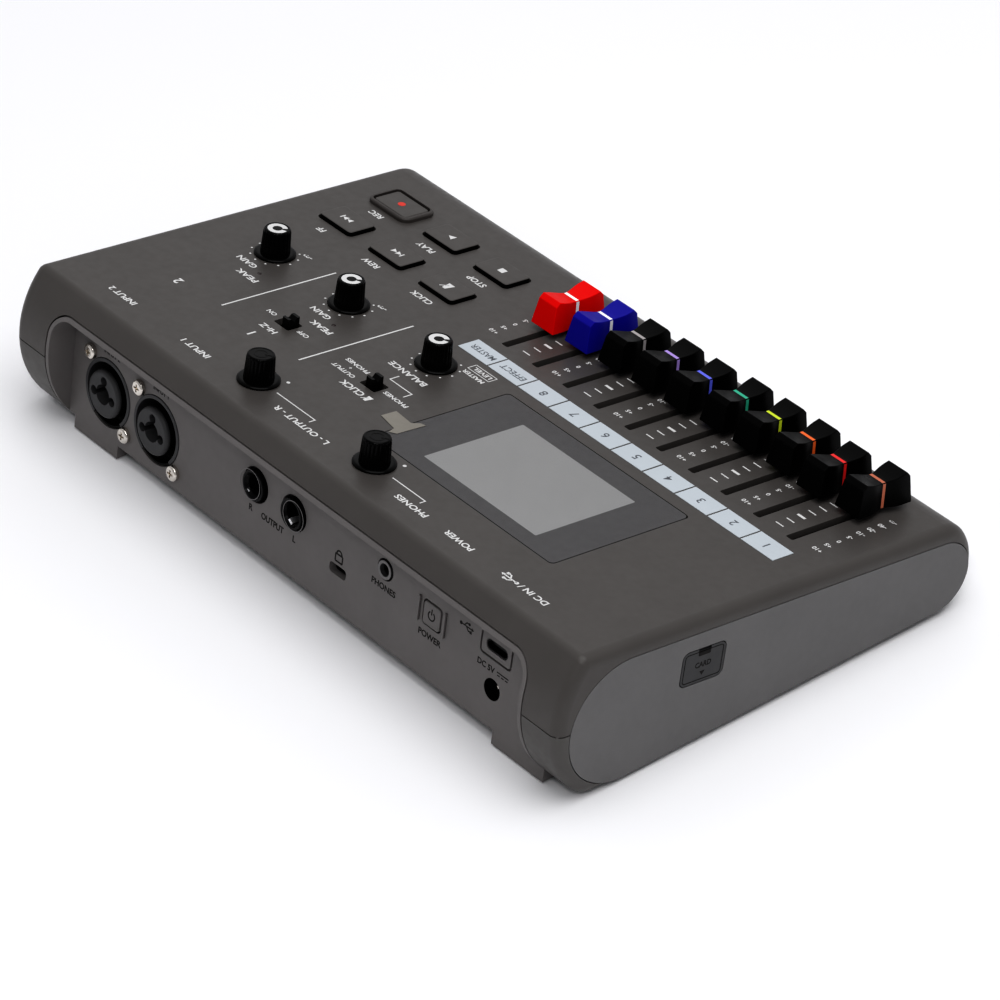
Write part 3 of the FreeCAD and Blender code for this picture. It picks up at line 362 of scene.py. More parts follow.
def bevel_edges(mesh, width):
    """Round the edges of a mesh that turn by more than 25 degrees."""
    shape = bmesh.new()
    shape.from_mesh(mesh)
    edges = [edge for edge in shape.edges
             if edge.is_manifold and edge.calc_face_angle(0) > math.radians(25)]
    bmesh.ops.bevel(shape, geom=edges, offset=width, segments=3, profile=0.6,
                    affect="EDGES", clamp_overlap=True)
    bmesh.ops.recalc_face_normals(shape, faces=shape.faces)
    shape.to_mesh(mesh)
    shape.free()


def letter_mesh(words, size, weight=0.0):
    """Points and faces of extruded lettering at a font size, its strokes grown by a weight."""
    curve = bpy.data.curves.new("lettering", "FONT")
    curve.body, curve.size, curve.extrude, curve.resolution_u = words, size, INK / 2, 3
    curve.offset = weight * size
    text = bpy.data.objects.new("lettering", curve)
    bpy.context.scene.collection.objects.link(text)
    mesh = bpy.data.meshes.new_from_object(text.evaluated_get(bpy.context.evaluated_depsgraph_get()))
    points = [vertex.co + Vector((0, 0, INK / 2)) for vertex in mesh.vertices]
    faces = [list(polygon.vertices) for polygon in mesh.polygons]
    bpy.data.objects.remove(text)
    bpy.data.curves.remove(curve)
    bpy.data.meshes.remove(mesh)
    return points, faces


def capital_height():
    """Height of a capital letter at font size 1."""
    return max(point.y for point in letter_mesh("H", 1.0)[0])


CAPITAL = capital_height()


# ---- materials ---------------------------------------------------------------------------------
def linear(*levels):
    """Linear colour of display levels from 0 to 255."""
    return [((level / 255 + 0.055) / 1.055) ** 2.4 if level > 10 else level / 255 / 12.92
            for level in levels]


def material_tree(name):
    material = bpy.data.materials.new(name)
    material.use_nodes = True
    nodes = material.node_tree.nodes
    return material, nodes, material.node_tree.links, nodes["Principled BSDF"]


def noise_node(nodes, links, coords, scale, detail=3.0):
    noise = nodes.new("ShaderNodeTexNoise")
    noise.inputs["Scale"].default_value = scale
    noise.inputs["Detail"].default_value = detail
    links.new(coords.outputs["Object"], noise.inputs["Vector"])
    return noise


def spread(nodes, links, source, low, high):
    """Noise stretched to a range of values."""
    ranged = nodes.new("ShaderNodeMapRange")
    ranged.inputs["From Min"].default_value = 0.3
    ranged.inputs["From Max"].default_value = 0.7
    ranged.inputs["To Min"].default_value = low
    ranged.inputs["To Max"].default_value = high
    links.new(source.outputs["Fac"], ranged.inputs["Value"])
    return ranged


def finish_material(name, levels, rough, uneven=0.06, grain=2600, depth=0.02, metal=0.0, coat=0.0,
                    cloud=60, specular=0.5):
    """Uneven colour and polish over a fine moulded or brushed grain."""
    material, nodes, links, shader = material_tree(name)
    coords = nodes.new("ShaderNodeTexCoord")
    patches = noise_node(nodes, links, coords, cloud)
    ramp = nodes.new("ShaderNodeValToRGB")
    colour = linear(*levels)
    for element, factor, spot in zip(ramp.color_ramp.elements, (1 - uneven, 1 + uneven), (0.3, 0.7)):
        element.position = spot
        element.color = [min(level * factor, 1.0) for level in colour] + [1.0]
    links.new(patches.outputs["Fac"], ramp.inputs["Fac"])
    links.new(ramp.outputs["Color"], shader.inputs["Base Color"])
    fine = noise_node(nodes, links, coords, grain, 2.0)
    streaks = noise_node(nodes, links, coords, cloud * 6)
    polish = spread(nodes, links, streaks, rough - 0.05, rough + 0.05)
    links.new(polish.outputs["Result"], shader.inputs["Roughness"])
    bump = nodes.new("ShaderNodeBump")
    bump.inputs["Strength"].default_value = 1.0
    bump.inputs["Distance"].default_value = depth * MM
    links.new(fine.outputs["Fac"], bump.inputs["Height"])
    links.new(bump.outputs["Normal"], shader.inputs["Normal"])
    shader.inputs["Metallic"].default_value = metal
    shader.inputs["Specular IOR Level"].default_value = specular
    shader.inputs["Coat Weight"].default_value = coat
    shader.inputs["Coat Roughness"].default_value = 0.25
    return material


def film_material(name, levels, cover, rough):
    """Thin film that lets part of what is under it through."""
    material = finish_material(name, levels, rough, uneven=0.04, cloud=90, depth=0.0)
    material.node_tree.nodes["Principled BSDF"].inputs["Alpha"].default_value = cover
    return material


CASE = finish_material("case_plastic", (80, 77, 75), 0.4, uneven=0.035, depth=0.012, specular=0.35)
CASE_LOWER = finish_material("lower_case_plastic", (88, 86, 84), 0.48, uneven=0.035, depth=0.012,
                             specular=0.35)
PANEL_PLASTIC = finish_material("panel_plastic", (110, 107, 106), 0.55, uneven=0.04, depth=0.014,
                                specular=0.35)
INLAY = finish_material("inlay_plastic", (111, 110, 110), 0.6, uneven=0.03, depth=0.01, specular=0.35)
KNOB = finish_material("knob_plastic", (3, 3, 3), 0.2, uneven=0.15, depth=0.006, specular=0.12)
CAP = finish_material("cap_plastic", (3, 3, 3), 0.32, uneven=0.12, depth=0.008, specular=0.09)
# black plastic colour, also used for the painted shade in the socket bores and on the power button's
# ribs
BLACK_AND_SHADE = finish_material("black_plastic_and_painted_shade", (5, 5, 5), 0.4, uneven=0.15, depth=0.006, specular=0.08)
JACK = finish_material("jack_plastic", (63, 63, 64), 0.45, uneven=0.06, depth=0.01, specular=0.3)
BUSH = finish_material("bush_plastic", (8, 8, 9), 0.3, uneven=0.1, depth=0.006, specular=0.15)
# light colour of the collar rims: a painted highlight
COLLAR_HIGHLIGHT = finish_material("collar_highlight_paint", (112, 110, 110), 0.4, uneven=0.05, depth=0.006)
RING = finish_material("ring_plastic", (66, 62, 60), 0.42, uneven=0.08, depth=0.008, specular=0.4)
RED = finish_material("red_cap", (226, 3, 2), 0.42, uneven=0.04, depth=0.006, specular=0.1)
BLUE = finish_material("blue_cap", (22, 16, 148), 0.42, uneven=0.05, depth=0.006, specular=0.15)
WHITE_INK = finish_material("white_ink", (214, 214, 214), 0.55, uneven=0.03, depth=0.004)
# dark ink for print, also used for the painted shade of the card door's groove and finger notch
DARK_INK_AND_SHADE = finish_material("dark_ink_and_painted_shade", (28, 25, 24), 0.6, uneven=0.05, depth=0.004, specular=0.2)
GREY_INK = finish_material("grey_ink", (92, 96, 102), 0.55, uneven=0.04, depth=0.004)
RED_INK = finish_material("red_ink", (215, 60, 45), 0.5, uneven=0.05, depth=0.004)
TILE = finish_material("tile_print", (190, 197, 203), 0.5, uneven=0.02, depth=0.006)
LENS = finish_material("lens_plastic", (84, 83, 84), 0.5, uneven=0.02, depth=0.006, specular=0.3)
SCREEN = finish_material("screen_glass", (140, 140, 140), 0.35, uneven=0.015, depth=0.0, cloud=25)
FILM = film_material("clear_film", (60, 60, 60), 0.004, 0.25)
FILM_TAB = film_material("film_tab", (138, 134, 126), 0.9, 0.45)
NICKEL = finish_material("nickel_plate", (214, 209, 202), 0.2, uneven=0.05, metal=1.0, depth=0.004)
STEEL = finish_material("stamped_steel", (150, 150, 150), 0.35, uneven=0.06, metal=1.0)
DARK_STEEL = finish_material("black_steel", (44, 44, 44), 0.4, uneven=0.08, metal=1.0)
TIN = finish_material("tin_plate", (236, 236, 238), 0.5, uneven=0.04, metal=1.0, depth=0.004)
BRASS = finish_material("brass", (200, 160, 70), 0.3, uneven=0.06, metal=1.0)
RUBBER = finish_material("rubber", (30, 30, 30), 0.75, uneven=0.06, depth=0.03)
DOOR = finish_material("door_rubber", (72, 72, 73), 0.6, uneven=0.04, depth=0.012, specular=0.3)
BOARD = finish_material("solder_mask", (22, 84, 52), 0.4, uneven=0.1)
LAMP = finish_material("lamp_lens", (46, 34, 34), 0.25, uneven=0.05, coat=0.4)
SLEEVE = finish_material("cell_sleeve", (70, 70, 74), 0.3, uneven=0.06, coat=0.4)

NODE_MATERIALS = {
    "top_case": CASE, "bottom_case": CASE_LOWER, "rear_panel": PANEL_PLASTIC,
    "left_inlay": INLAY, "right_inlay": INLAY, "record_ring": RING,
    "display_lens": LENS, "lcd_module": SCREEN, "track_labels": TILE,
    "main_board": BOARD, "jack_boards": BOARD, "potentiometers": BLACK_AND_SHADE, "fader_units": BLACK_AND_SHADE,
    "key_switches": BLACK_AND_SHADE, "slide_switch_bodies": BLACK_AND_SHADE, "power_switch": BLACK_AND_SHADE,
    "card_socket": STEEL, "peak_lamps": LAMP, "jack_screws": NICKEL, "case_screws": DARK_STEEL,
    "output_jacks": BUSH, "phones_jack": JACK, "dc_jack": BLACK_AND_SHADE, "usb_port": DARK_STEEL,
    "power_button": PANEL_PLASTIC, "card_door": DOOR, "battery_cover": CASE_LOWER,
    "battery_cells": SLEEVE, "battery_contacts": STEEL, "feet": RUBBER,
    "input_1_jack": JACK, "input_2_jack": JACK, "input_1_latch": BLACK_AND_SHADE, "input_2_latch": BLACK_AND_SHADE,
    "hi_z_switch": KNOB, "click_out_switch": KNOB,
}


def dress_nodes():
    """Give the CAD nodes that stay visible their materials."""
    for node, material in NODE_MATERIALS.items():
        piece = frame["nodes"][node]
        if not piece.material_slots:
            piece.data.materials.append(material)
        for slot in piece.material_slots:
            slot.material = material


# ---- fader caps --------------------------------------------------------------------------------
TRACK_LINES = {
    "master": (250, 250, 250), "effect": (240, 240, 245), "8": (170, 165, 165),
    "7": (178, 150, 222), "6": (104, 112, 230), "5": (52, 178, 146), "4": (206, 224, 40),
    "3": (240, 112, 40), "2": (236, 40, 40), "1": (190, 112, 84),
}
TRACKS = list(TRACK_LINES)
SHELLS = {"master": (RED, "cap_red"), "effect": (BLUE, "cap_blue")}


def cap_section(reach, foot, crest):
    """Half width at the foot and crown and the crown's height, at a distance from the pointer line."""
    waist = (1 + math.cos(math.pi * min(reach / CAP_PINCH, 1))) / 2
    wide = foot - (foot - CAP_WAIST_FOOT) * waist
    crown = CAP_CROWN - (CAP_CROWN - CAP_WAIST_CROWN) * waist
    sag = 1 - min(reach / CAP_RIDGE, 1) ** 1.3
    return wide, crown, crest - CAP_VALLEY * sag


def fader_cap(track):
    """Saddle-shaped cap: two crests, a waist at the pointer line, and its lever."""
    node = f"fader_cap_{track}"
    low, high = place(node)
    x, line = (low.x + high.x) / 2, (low.y + high.y) / 2
    foot, half, crest = (high.x - low.x) / 2, (high.y - low.y) / 2, high.z
    build = Build()
    sections, marks = [], []
    reaches = (CAP_LINE, *CAP_STEPS, CAP_PINCH, CAP_RIDGE, half)
    for reach in [-reach for reach in reversed(reaches)] + list(reaches):
        wide, crown, rise = cap_section(abs(reach), foot, crest)
        top = reach
        if abs(reach) == half:
            top, rise = math.copysign(half - CAP_FACET[0], reach), crest - CAP_FACET[1]
        sections.append([(x - wide, line + reach, CAP_FOOT), (x - crown, line + top, rise),
                         (x + crown, line + top, rise), (x + wide, line + reach, CAP_FOOT)])
        marks.append(1 if reach == -CAP_LINE else 0)
    build.loft(sections, marks=marks)
    build.slab(box_outline(x, line, *CAP_LEVER), low.z, CAP_FOOT + 0.5)
    paint = finish_material(f"line_{track}", TRACK_LINES[track], 0.5, uneven=0.04, depth=0.004)
    shell, slot = SHELLS.get(track, (CAP, "cap_black"))
    piece = build.piece(f"cap_{track}", f"fader_{track}", slot, [shell, paint], bevel=CAP_BEVEL)
    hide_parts(node)


# ---- knobs ---------------------------------------------------------------------------------------
def fluted(x, y, radius, height, depth, steps):
    """Ring of points whose radius dips at each flute."""
    points = []
    for step in range(steps):
        turn = 2 * math.pi * step / steps
        wave = abs(math.cos(turn * KNOB_FLUTES / 2)) ** 0.7
        reach = radius - depth * (1 - wave)
        points.append((x + reach * math.cos(turn), y + reach * math.sin(turn), height))
    return points


def knob(name, ringed):
    """Fluted knob with a skirt, its crown ring and pointer."""
    node = f"{name}_knob"
    low, high = place(node)
    x, y, top = (low.x + high.x) / 2, (low.y + high.y) / 2, high.z - KNOB_DROP
    widest, crown = (high.x - low.x) / 2, top - CROWN_DISH
    build = Build()
    build.lathe(x, y, [(widest - inset, height) for inset, height in SKIRT] + [SKIRT_TOP], steps=64)
    build.lathe(x, y, [(KNOB_SHAFT, low.z), (KNOB_SHAFT, 0.3)], steps=32)
    body = BODY_FOOT + tuple((radius, top - drop, depth) for radius, drop, depth in BODY_CROWN)
    build.loft([fluted(x, y, *level, KNOB_FLUTES * 8) for level in body])
    if ringed:
        build.ring(x, y, RING_INNER, RING_OUTER, crown - 0.02, crown + 0.05,
                   POINTER_TURN + RING_GAP, POINTER_TURN + 360 - RING_GAP, mark=1)
    else:
        pointer = math.radians(POINTER_TURN)
        middle, way = Vector((x, y)), Vector((math.cos(pointer), math.sin(pointer)))
        build.slab(ribbon([middle + way * 1.2, middle + way * 3.3], 0.45), crown - 0.02, crown + 0.1)
        build.ring(x, y, 1.9, 2.2, crown - 0.02, crown + 0.06)
    piece = build.piece(f"{name}_control", name, "knob_plastic", [KNOB, WHITE_INK], sharp=40)
    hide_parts(node)


# ---- keys ----------------------------------------------------------------------------------------
def key_icon(build, name, x, y, level):
    """Printed symbol in the middle of a key."""
    low, high = level - SUNK, level + INK

    def triangle(left, way, size):
        tip = [(x + left, y - size / 2), (x + left + way * size * 0.9, y), (x + left, y + size / 2)]
        build.slab(tip[::way], low, high, 2)

    if name == "record":
        build.slab(circle(x, y, RECORD_DOT), low, high, 3)
    elif name == "play":
        triangle(-1.1, 1, PLAY_ICON)
    elif name == "stop":
        build.slab(box_outline(x, y, STOP_ICON, STOP_ICON), low, high, 2)
    elif name == "click":
        metronome(build, x, y, CLICK_ICON, low, high, 2)
    else:
        way = 1 if name == "forward" else -1
        for start in (-2.1, 0.0):
            triangle(start * way, way, WIND_ICON)
        build.slab(box_outline(x + way * 2.3, y, 0.5, WIND_ICON), low, high, 2)


def metronome(build, x, y, size, low, high, mark):
    """Metronome symbol: a tapered body with a slanting arm."""
    half = size / 2
    body = [(x - half * 0.75, y - half), (x + half * 0.75, y - half),
            (x + half * 0.35, y + half), (x - half * 0.35, y + half)]
    build.slab(body, low, high, mark)
    arm = ribbon([(x + half * 0.1, y - half * 0.4), (x + half * 1.15, y + half * 0.95)], size * 0.11)
    build.slab(arm, low, high, mark)


def key(name):
    """Flat key: case-coloured top, black sides and a printed symbol."""
    node = f"{name}_key"
    low, high = place(node)
    x, y = (low.x + high.x) / 2, (low.y + high.y) / 2
    width, depth, top = high.x - low.x, high.y - low.y, high.z
    build = Build()
    sections = []
    for inset, z in [(0.0, KEY_FOOT)] + [(inset, top - drop) for inset, drop in KEY_EDGE]:
        outline = box_outline(x, y, width - 2 * inset, depth - 2 * inset, KEY_CORNER - inset)
        sections.append([(px, py, z) for px, py in outline])
    build.loft(sections, marks=[1, 1, 0, 0])
    build.slab(circle(x, y, KEY_STEM), low.z, KEY_FOOT + 0.1, 1)
    key_icon(build, name, x, y, top)
    piece = build.piece(f"{name}_button", node, "key_plastic", [CASE, BLACK_AND_SHADE, WHITE_INK, RED_INK])
    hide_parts(node)


# ---- printing on the top panel ---------------------------------------------------------------------
def dial(build, x, y):
    """Dots round a knob's travel."""
    for step in range(DIAL_DOTS):
        turn = math.radians(90 - DIAL_SWEEP / 2 + DIAL_SWEEP * step / (DIAL_DOTS - 1))
        build.ink(circle(x + DIAL_RADIUS * math.cos(turn), y + DIAL_RADIUS * math.sin(turn),
                         DOT_RADIUS, 12))


def trident(build, x, y, size):
    """Branching arrow of the data and supply port."""
    half, line = size / 2, size * 0.07
    build.ink(circle(x - half, y, line * 1.5, 16))
    build.line([(x - half, y), (x + half * 0.7, y)], line)
    build.ink([(x + half, y), (x + half * 0.65, y + line * 1.5), (x + half * 0.65, y - line * 1.5)])
    for start, side in ((-0.5, 1), (-0.2, -1)):
        build.line([(x + half * start, y), (x + half * (start + 0.35), y + side * half * 0.4),
                    (x + half * (start + 0.75), y + side * half * 0.4)], line)
    build.ink(circle(x + half * 0.25, y + half * 0.4, line * 1.2, 12))
    build.ink(box_outline(x + half * 0.55, y - half * 0.4, line * 2.2, line * 2.2))


def input_print(build, number):
    """Everything printed for one input: its name, number, gain dial and lamp label."""
    spot = middle_of(f"gain_{number}_knob")
    build.labels(spot.x, spot.y, INPUT_LABELS, number)
    dial(build, spot.x, spot.y)


def switch_print(build):
    """Names of the two slide switches and of their positions."""
    low, high = place("hi_z_switch")
    build.labels(low.x + HI_Z_MIDDLE, (low.y + high.y) / 2, HI_Z_LABELS)
    spot = middle_of("click_out_switch")
    metronome(build, spot.x - 5.6, spot.y + 7.0, 2.9, 0, INK, 0)
    build.labels(spot.x, spot.y, CLICK_OUT_LABELS)


def balance_print(build):
    """The balance knob's names and dial, and the line that joins it to the output knob's name."""
    spot = middle_of("balance_knob")
    x, y = spot.x, spot.y
    build.labels(x, y, BALANCE_LABELS)
    dial(build, x, y)
    build.line([(x + right, y + rear) for right, rear in BALANCE_LINK], THIN_LINE)
    right, rear, width, height = LEVEL_BOX
    build.border(x + right, y + rear, width, height, 0.28)


def rear_row_print(build):
    """Labels along the rear edge, brackets and the two plain knobs' start dots."""
    row = middle_of("output_knob").y + REAR_ROW
    for node, words, right, rear, width in REAR_ROW_LABELS:
        build.text(words, middle_of(node).x + right, row + rear, LABEL, width=width)
    for node, right, rear, drop, reach in BRACKETS:
        x, y = middle_of(node).x + right, row + rear
        build.line([(x, y), (x, y - drop), (x + reach, y - drop)], THIN_LINE)
    trident(build, middle_of("usb_port").x + 5.7, row + 0.8, 6.6)
    for spot in (middle_of("output_knob"), middle_of("phones_knob")):
        build.ink(circle(spot.x + START_DOT[0], spot.y + START_DOT[1], START_DOT[2], 16))


def separators(build):
    """Lines that divide the two inputs and the balance section."""
    for number, left in SEPARATORS:
        spot = middle_of(f"gain_{number}_knob")
        build.line([(spot.x - left, spot.y + end) for end in SEPARATOR_ENDS], SEPARATOR_LINE)


def fader_scale(build):
    """Numerals and ticks between the fader slots, at the travel's eight marks."""
    centres = {track: middle_of(f"fader_cap_{track}").x for track in TRACKS}
    pitch = centres["master"] - centres["effect"]
    front, rear = (middle_of("fader_cap_1").y + stop / MM
                   for stop in joint_of("fader_1_slide")["range_m"])
    columns = [centres["1"] - 0.62 * pitch, centres["master"] + 0.6 * pitch]
    columns += [centres[track] - pitch / 2 for track in ("3", "5", "7", "effect")]
    width, height = SCALE_TICK
    for step, mark in enumerate(SCALE):
        y = rear + (front - rear) * step / (len(SCALE) - 1)
        for x in columns:
            build.text(mark, x, y, SCALE_NUMERAL)
        for track in ("master", "8", "6", "4", "2"):
            build.ink(box_outline(centres[track] - pitch / 2, y, width,
                                  ZERO_TICK if mark == "0" else height))


def key_print(build):
    """Names behind the keys."""
    for name, words in KEY_NAMES.items():
        spot = middle_of(f"{name}_key")
        build.text(words, spot.x, spot.y + KEY_NAME_UP, LABEL + 0.1)


def panel_print():
    """All white printing on the top panel, as one piece."""
    build = Build()
    for number in (1, 2):
        input_print(build, number)
    for part in (switch_print, balance_print, rear_row_print, separators, fader_scale, key_print):
        part(build)
    build.piece("panel_print", "chassis", "label", [WHITE_INK], sharp=20)


def tile_print():
    """Track names on the label tiles."""
    low, high = place("track_labels")
    pitch = (high.x - low.x) / len(TRACKS)
    build = Build()
    for index, track in enumerate(TRACKS):
        height, width = TILE_NAMES if len(track) > 1 else (TILE_NUMBERS, None)
        build.text(track.upper(), high.x - pitch * (index + 0.5), (low.y + high.y) / 2, height,
                   high.z, width, TILE_WEIGHT)
    build.piece("tile_print", "chassis", "label", [GREY_INK], sharp=20)


# ---- display ---------------------------------------------------------------------------------------
def display():
    """Lit area of the screen and the protective film with its pull tab."""
    low, high = place("lcd_module")
    middle, size = (low + high) / 2, high - low
    glass = Build()
    glass.slab(box_outline(middle.x, middle.y, size.x - 2 * SCREEN_MARGIN,
                           size.y - 2 * SCREEN_MARGIN, 0.4), *WINDOW_LEVELS)
    glass.piece("screen_window", "chassis", "lcd_glass", [SCREEN])
    low, high = place("display_lens")
    middle, size = (low + high) / 2, high - low
    under, over, tab = FILM_LEVELS
    film = Build()
    film.slab(box_outline(middle.x, middle.y, size.x - 2 * FILM_MARGIN, size.y - 2 * FILM_MARGIN,
                          1.2), under, over)
    film.slab([(high.x + right, high.y + rear) for right, rear in FILM_TAB_EDGE], over, tab, 1)
    piece = film.piece("screen_protector", "chassis", "film", [FILM, FILM_TAB])
    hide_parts("screen_film")


# ---- rear panel ------------------------------------------------------------------------------------
def rear_level():
    """Height of the connector panel's face in the REAR base frame."""
    return place("phones_jack", REAR)[1].z - PHONES_PROUD


def rear_build():
    """Solids drawn on the connector panel's face."""
    return Build(REAR @ Matrix.Translation((0, 0, rear_level())))


def jack_places():
    """Centres of the two output jacks, seen from the rear."""
    low, high = place("output_jacks", REAR)
    y = (low.y + high.y) / 2
    return (low.x + OUTPUT_RADIUS, y), (high.x - OUTPUT_RADIUS, y)


def rear_print():
    """Names and symbols beside the sockets."""
    build = rear_build()
    for number in (1, 2):
        mouth = middle_of(f"input_{number}_latch", REAR)
        jack = middle_of(f"input_{number}_jack", REAR)
        build.text(f"INPUT {number}", mouth.x - 0.4, jack.y + 13.2, 1.5)
    right, left = jack_places()
    row = right[1] - 8.2
    for words, x, width in (("R", right[0], None), ("OUTPUT", (right[0] + left[0]) / 2, 10.6),
                            ("L", left[0], None)):
        build.text(words, x, row, 2.0, width=width)
    for node, words, x, y, height, width in REAR_LABELS:
        spot = middle_of(node, REAR)
        build.text(words, spot.x + x, spot.y + y, height, width=width)
    spot = middle_of("usb_port", REAR)
    trident(build, spot.x - 13.0, spot.y + 0.2, 5.6)
    direct_current(build, spot.x + 3.6, spot.y - 6.8)
    lock_symbol(build)
    build.piece("rear_print", "chassis", "panel_plastic", [DARK_INK_AND_SHADE], sharp=20)


def direct_current(build, x, y):
    """A line over three dashes."""
    build.ink(box_outline(x, y, 5.0, 0.35))
    for side in (-1, 0, 1):
        build.ink(box_outline(x + 1.7 * side, y - 0.9, 1.1, 0.35))


def lock_symbol(build):
    """Padlock above the security slot."""
    phones = middle_of("phones_jack", REAR)
    x, y = phones.x - 20.3, phones.y - 7.0
    build.border(x, y - 0.3, 3.2, 2.4, LOCK_LINE)
    build.ring(x, y + 1.1, 0.85, 1.4, 0, INK, 0, 180, steps=16)


def power_print():
    """Symbol on the power button's face."""
    low, high = place("power_button", REAR)
    x, y = (low.x + high.x) / 2, (low.y + high.y) / 2
    build = Build(REAR @ Matrix.Translation((0, 0, high.z)))
    build.ring(x, y, *POWER_RING, 0, INK, 120, 420)
    build.ink(box_outline(x, y + 1.3, 0.42, 1.9))
    build.piece("power_symbol", "power_button", "label", [DARK_INK_AND_SHADE], sharp=20)


def socket_rims():
    """Painted highlights on the rims of the output and headphone collars, and dark rings that paint
    the shade in the sockets' bores.
    """
    phones, supply = middle_of("phones_jack", REAR), middle_of("dc_jack", REAR)
    rim_highlights = rear_build()
    # light rings on the collar rims: painted highlight
    for x, y in jack_places():
        rim_highlights.ring(x, y, *OUTPUT_RIM, OUTPUT_FACE - SUNK, OUTPUT_FACE + INK)
    rim_highlights.ring(phones.x, phones.y, *PHONES_RIM, PHONES_PROUD - SUNK, PHONES_PROUD + 0.03)
    rim_highlights.piece("socket_rims", "chassis", "jack_plastic", [COLLAR_HIGHLIGHT])
    # black rings in the headphone and supply bores and round the input cores: painted shade
    shade_rings = rear_build()
    shade_rings.ring(phones.x, phones.y, PHONES_BORE - 0.15, PHONES_BORE, -4.0, -0.9)
    shade_rings.ring(supply.x, supply.y, DC_RADIUS - 0.12, DC_RADIUS - 0.02, -9.0, -SUNK)
    for number in (1, 2):
        low, high = place(f"input_{number}_jack", REAR)
        shade_rings.ring((low.x + high.x) / 2, (low.y + high.y) / 2, CORE_RADIUS - 0.05,
                    CORE_RADIUS + 0.1, -5.0, 0.85, steps=64)
    shade_rings.piece("socket_shade_rings", "chassis", "black_moulding", [BLACK_AND_SHADE])


def contact_leaves():
    """Bright spring contacts at the foot of the plug funnels."""
    build = rear_build()
    way = Vector((math.cos(CONTACT_TURN), math.sin(CONTACT_TURN)))
    side = Vector((-way.y, way.x)) * CONTACT_WIDTH / 2
    for x, y in jack_places():
        leaf = []
        for reach, level in CONTACT_LEAF:
            near, far = way * reach, way * (reach + CONTACT_THICK)
            corners = [near - side, near + side, far + side, far - side]
            leaf.append([(x + corner.x, y + corner.y, level) for corner in corners])
        build.loft(leaf)
    build.piece("output_contacts", "chassis", "nickel", [TIN], bevel=0.15)


def supply_contacts():
    """Plated centre pin and leaf of the supply socket."""
    spot = middle_of("dc_jack", REAR)
    build = rear_build()
    build.lathe(spot.x, spot.y, SUPPLY_PIN, steps=24)
    build.slab(box_outline(spot.x, spot.y - 2.35, 1.2, 0.25), -6.0, -2.6)
    build.piece("supply_contacts", "chassis", "nickel", [NICKEL])


def input_contacts():
    """Gilt contacts that show in the input sockets' bores."""
    build = rear_build()
    for number in (1, 2):
        spot = middle_of(f"input_{number}_jack", REAR)
        build.slab(box_outline(spot.x - 2.7, spot.y - 1.2, 0.35, 1.7), -6.0, -2.2)
    build.piece("input_contacts", "chassis", "nickel", [BRASS], bevel=0.06)


def button_guards():
    """Black slabs over the ribs beside the power button: painted shade on the ribs."""
    spot = middle_of("power_button", REAR)
    build = rear_build()
    for side in (-1, 1):
        build.slab(box_outline(spot.x + side * GUARD_REACH, spot.y, *GUARD, 0.3), -0.02, 0.12)
    build.piece("button_guards", "chassis", "black_moulding", [BLACK_AND_SHADE])


def door_marks():
    """Marks on the card door: a dark outline ring and bar that paint the shade of its groove and
    finger notch, and its printed name and arrow.
    """
    low, high = place("card_door", LEFT)
    middle, size = (low + high) / 2, high - low
    build = Build(LEFT @ Matrix.Translation((0, 0, high.z)))
    # dark outline ring: painted shade of the door's groove
    outer = box_outline(middle.x, middle.y, size.x - 1.4, size.y - 1.4, 1.2)
    inner = box_outline(middle.x, middle.y, size.x - 2.0, size.y - 2.0, 0.9)
    build.loop([[(*outside, 0), (*outside, INK), (*inside, INK), (*inside, 0)]
                for outside, inside in zip(outer, inner)])
    x, y = middle.x, middle.y
    # dark bar: painted shade of the finger notch
    build.ink(box_outline(x, high.y - 1.5, 4.6, 1.5, 0.4))
    build.text("CARD", x, y + 0.3, 1.7, width=6.0)
    build.ink([(x - 1.0, y - 2.0), (x, y - 3.4), (x + 1.0, y - 2.0)])
    build.piece("door_marks", "card_door", "door_rubber", [DARK_INK_AND_SHADE], sharp=20)


# ---- stage -----------------------------------------------------------------------------------------
def stage_floor():
    """Sheet of white paper, far larger than the view."""
    mesh = bpy.data.meshes.new("studio_floor")
    corners = box_outline(0, 0, FLOOR_WIDTH, FLOOR_WIDTH)
    mesh.from_pydata([(*corner, 0) for corner in corners], [], [(0, 1, 2, 3)])
    mesh.materials.append(finish_material("studio_paper", (246, 246, 248), 0.9, uneven=0.004,
                                          cloud=3, depth=0.0))
    floor = bpy.data.objects.new("studio_floor", mesh)
    bpy.context.scene.collection.objects.link(floor)


def area_light(name, spot, target, size, power):
    light = bpy.data.lights.new(name, "AREA")
    light.shape, light.size, light.energy = "DISK", size, power
    lamp = bpy.data.objects.new(name, light)
    lamp.location = spot
    lamp.rotation_euler = (Vector(target) - Vector(spot)).to_track_quat("-Z", "Y").to_euler()
    bpy.context.scene.collection.objects.link(lamp)


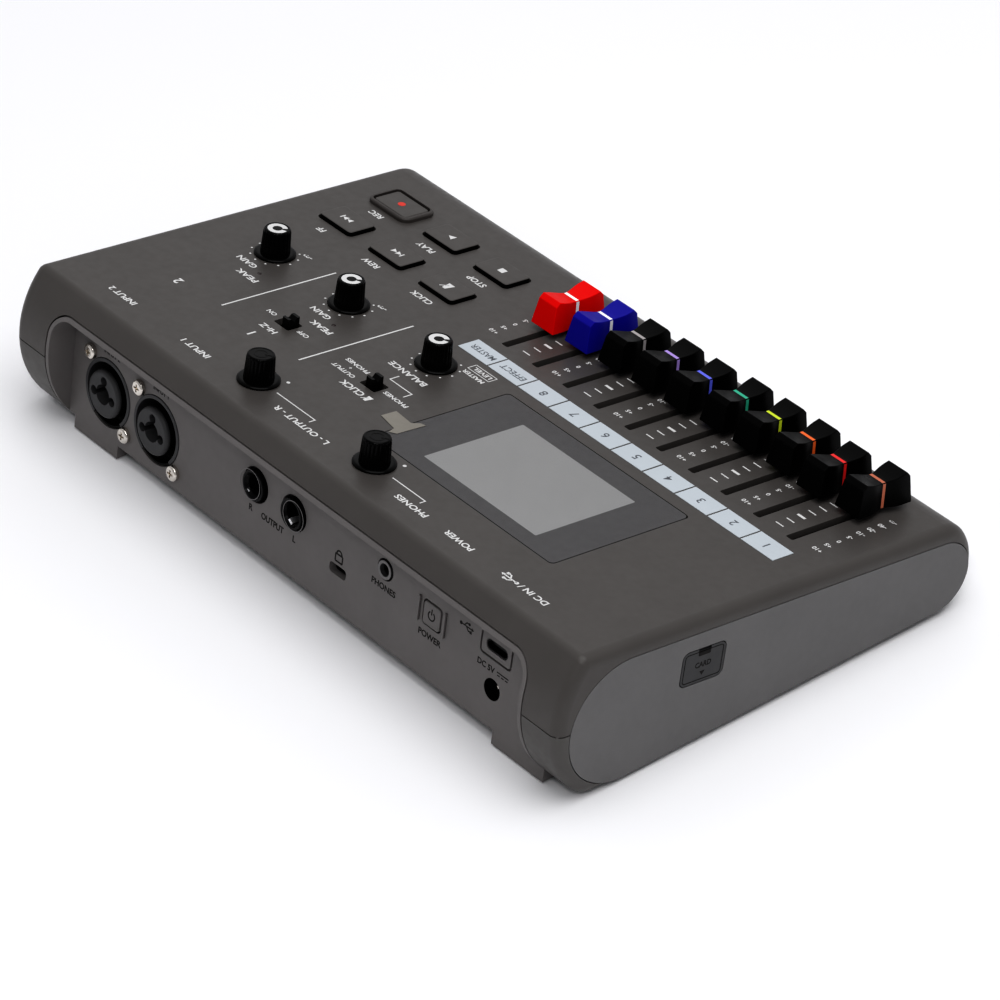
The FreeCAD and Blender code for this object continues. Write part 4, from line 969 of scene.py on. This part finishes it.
def studio_world():
    """Even white surroundings, brighter on the side away from the camera."""
    world = bpy.data.worlds.new("studio")
    world.use_nodes = True
    nodes, links = world.node_tree.nodes, world.node_tree.links
    way = nodes.new("ShaderNodeTexCoord")
    side = nodes.new("ShaderNodeVectorMath")
    side.operation = "DOT_PRODUCT"
    side.inputs[1].default_value = (0.70, -0.60, 0.38)
    glow = nodes.new("ShaderNodeMapRange")
    glow.inputs["From Min"].default_value = -0.4
    glow.inputs["From Max"].default_value = 0.95
    glow.inputs["To Min"].default_value = SURROUND[0]
    glow.inputs["To Max"].default_value = SURROUND[1]
    links.new(way.outputs["Generated"], side.inputs[0])
    links.new(side.outputs["Value"], glow.inputs["Value"])
    background = nodes["Background"]
    background.inputs["Color"].default_value = (0.985, 0.985, 1.0, 1.0)
    links.new(glow.outputs["Result"], background.inputs["Strength"])
    bpy.context.scene.world = world


def studio_light():
    studio_world()
    area_light("overhead", (-0.35, 0.0, 1.5), (0, 0, 0), 1.5, OVERHEAD)
    area_light("fill", (-0.75, 0.75, 1.1), (0, 0, 0), 0.16, FILL)
    area_light("sheen", (1.2, -1.0, 1.0), (0.09, 0, 0.03), 0.9, SHEEN)


def camera():
    """Long-lens view over the rear left corner."""
    eye = Vector((-0.89398, 0.75104, 0.8264))
    aim = Vector((-0.02446, 0.01344, 0.02))
    roll = math.radians(-1.095)
    data = bpy.data.cameras.new("camera")
    data.sensor_width, data.lens = 36.0, 171.15
    data.clip_start, data.clip_end = 0.05, 50.0
    view = bpy.data.objects.new("camera", data)
    turn = (aim - eye).to_track_quat("-Z", "Y").to_matrix().to_4x4()
    view.matrix_world = Matrix.Translation(eye) @ turn @ Matrix.Rotation(-roll, 4, "Z")
    bpy.context.scene.collection.objects.link(view)
    bpy.context.scene.camera = view


# ---- the whole scene -------------------------------------------------------------------------------
dress_nodes()
for track_name in TRACKS:
    fader_cap(track_name)
for knob_name in ("gain_1", "gain_2", "balance", "output", "phones"):
    knob(knob_name, knob_name not in ("output", "phones"))
for key_name in KEY_NAMES:
    key(key_name)
panel_print()
tile_print()
display()
rear_print()
power_print()
socket_rims()
contact_leaves()
supply_contacts()
input_contacts()
button_guards()
door_marks()
stage_floor()
studio_light()
camera()
view = bpy.context.scene.view_settings
view.view_transform, view.look, view.exposure = "Standard", "High Contrast", EXPOSURE
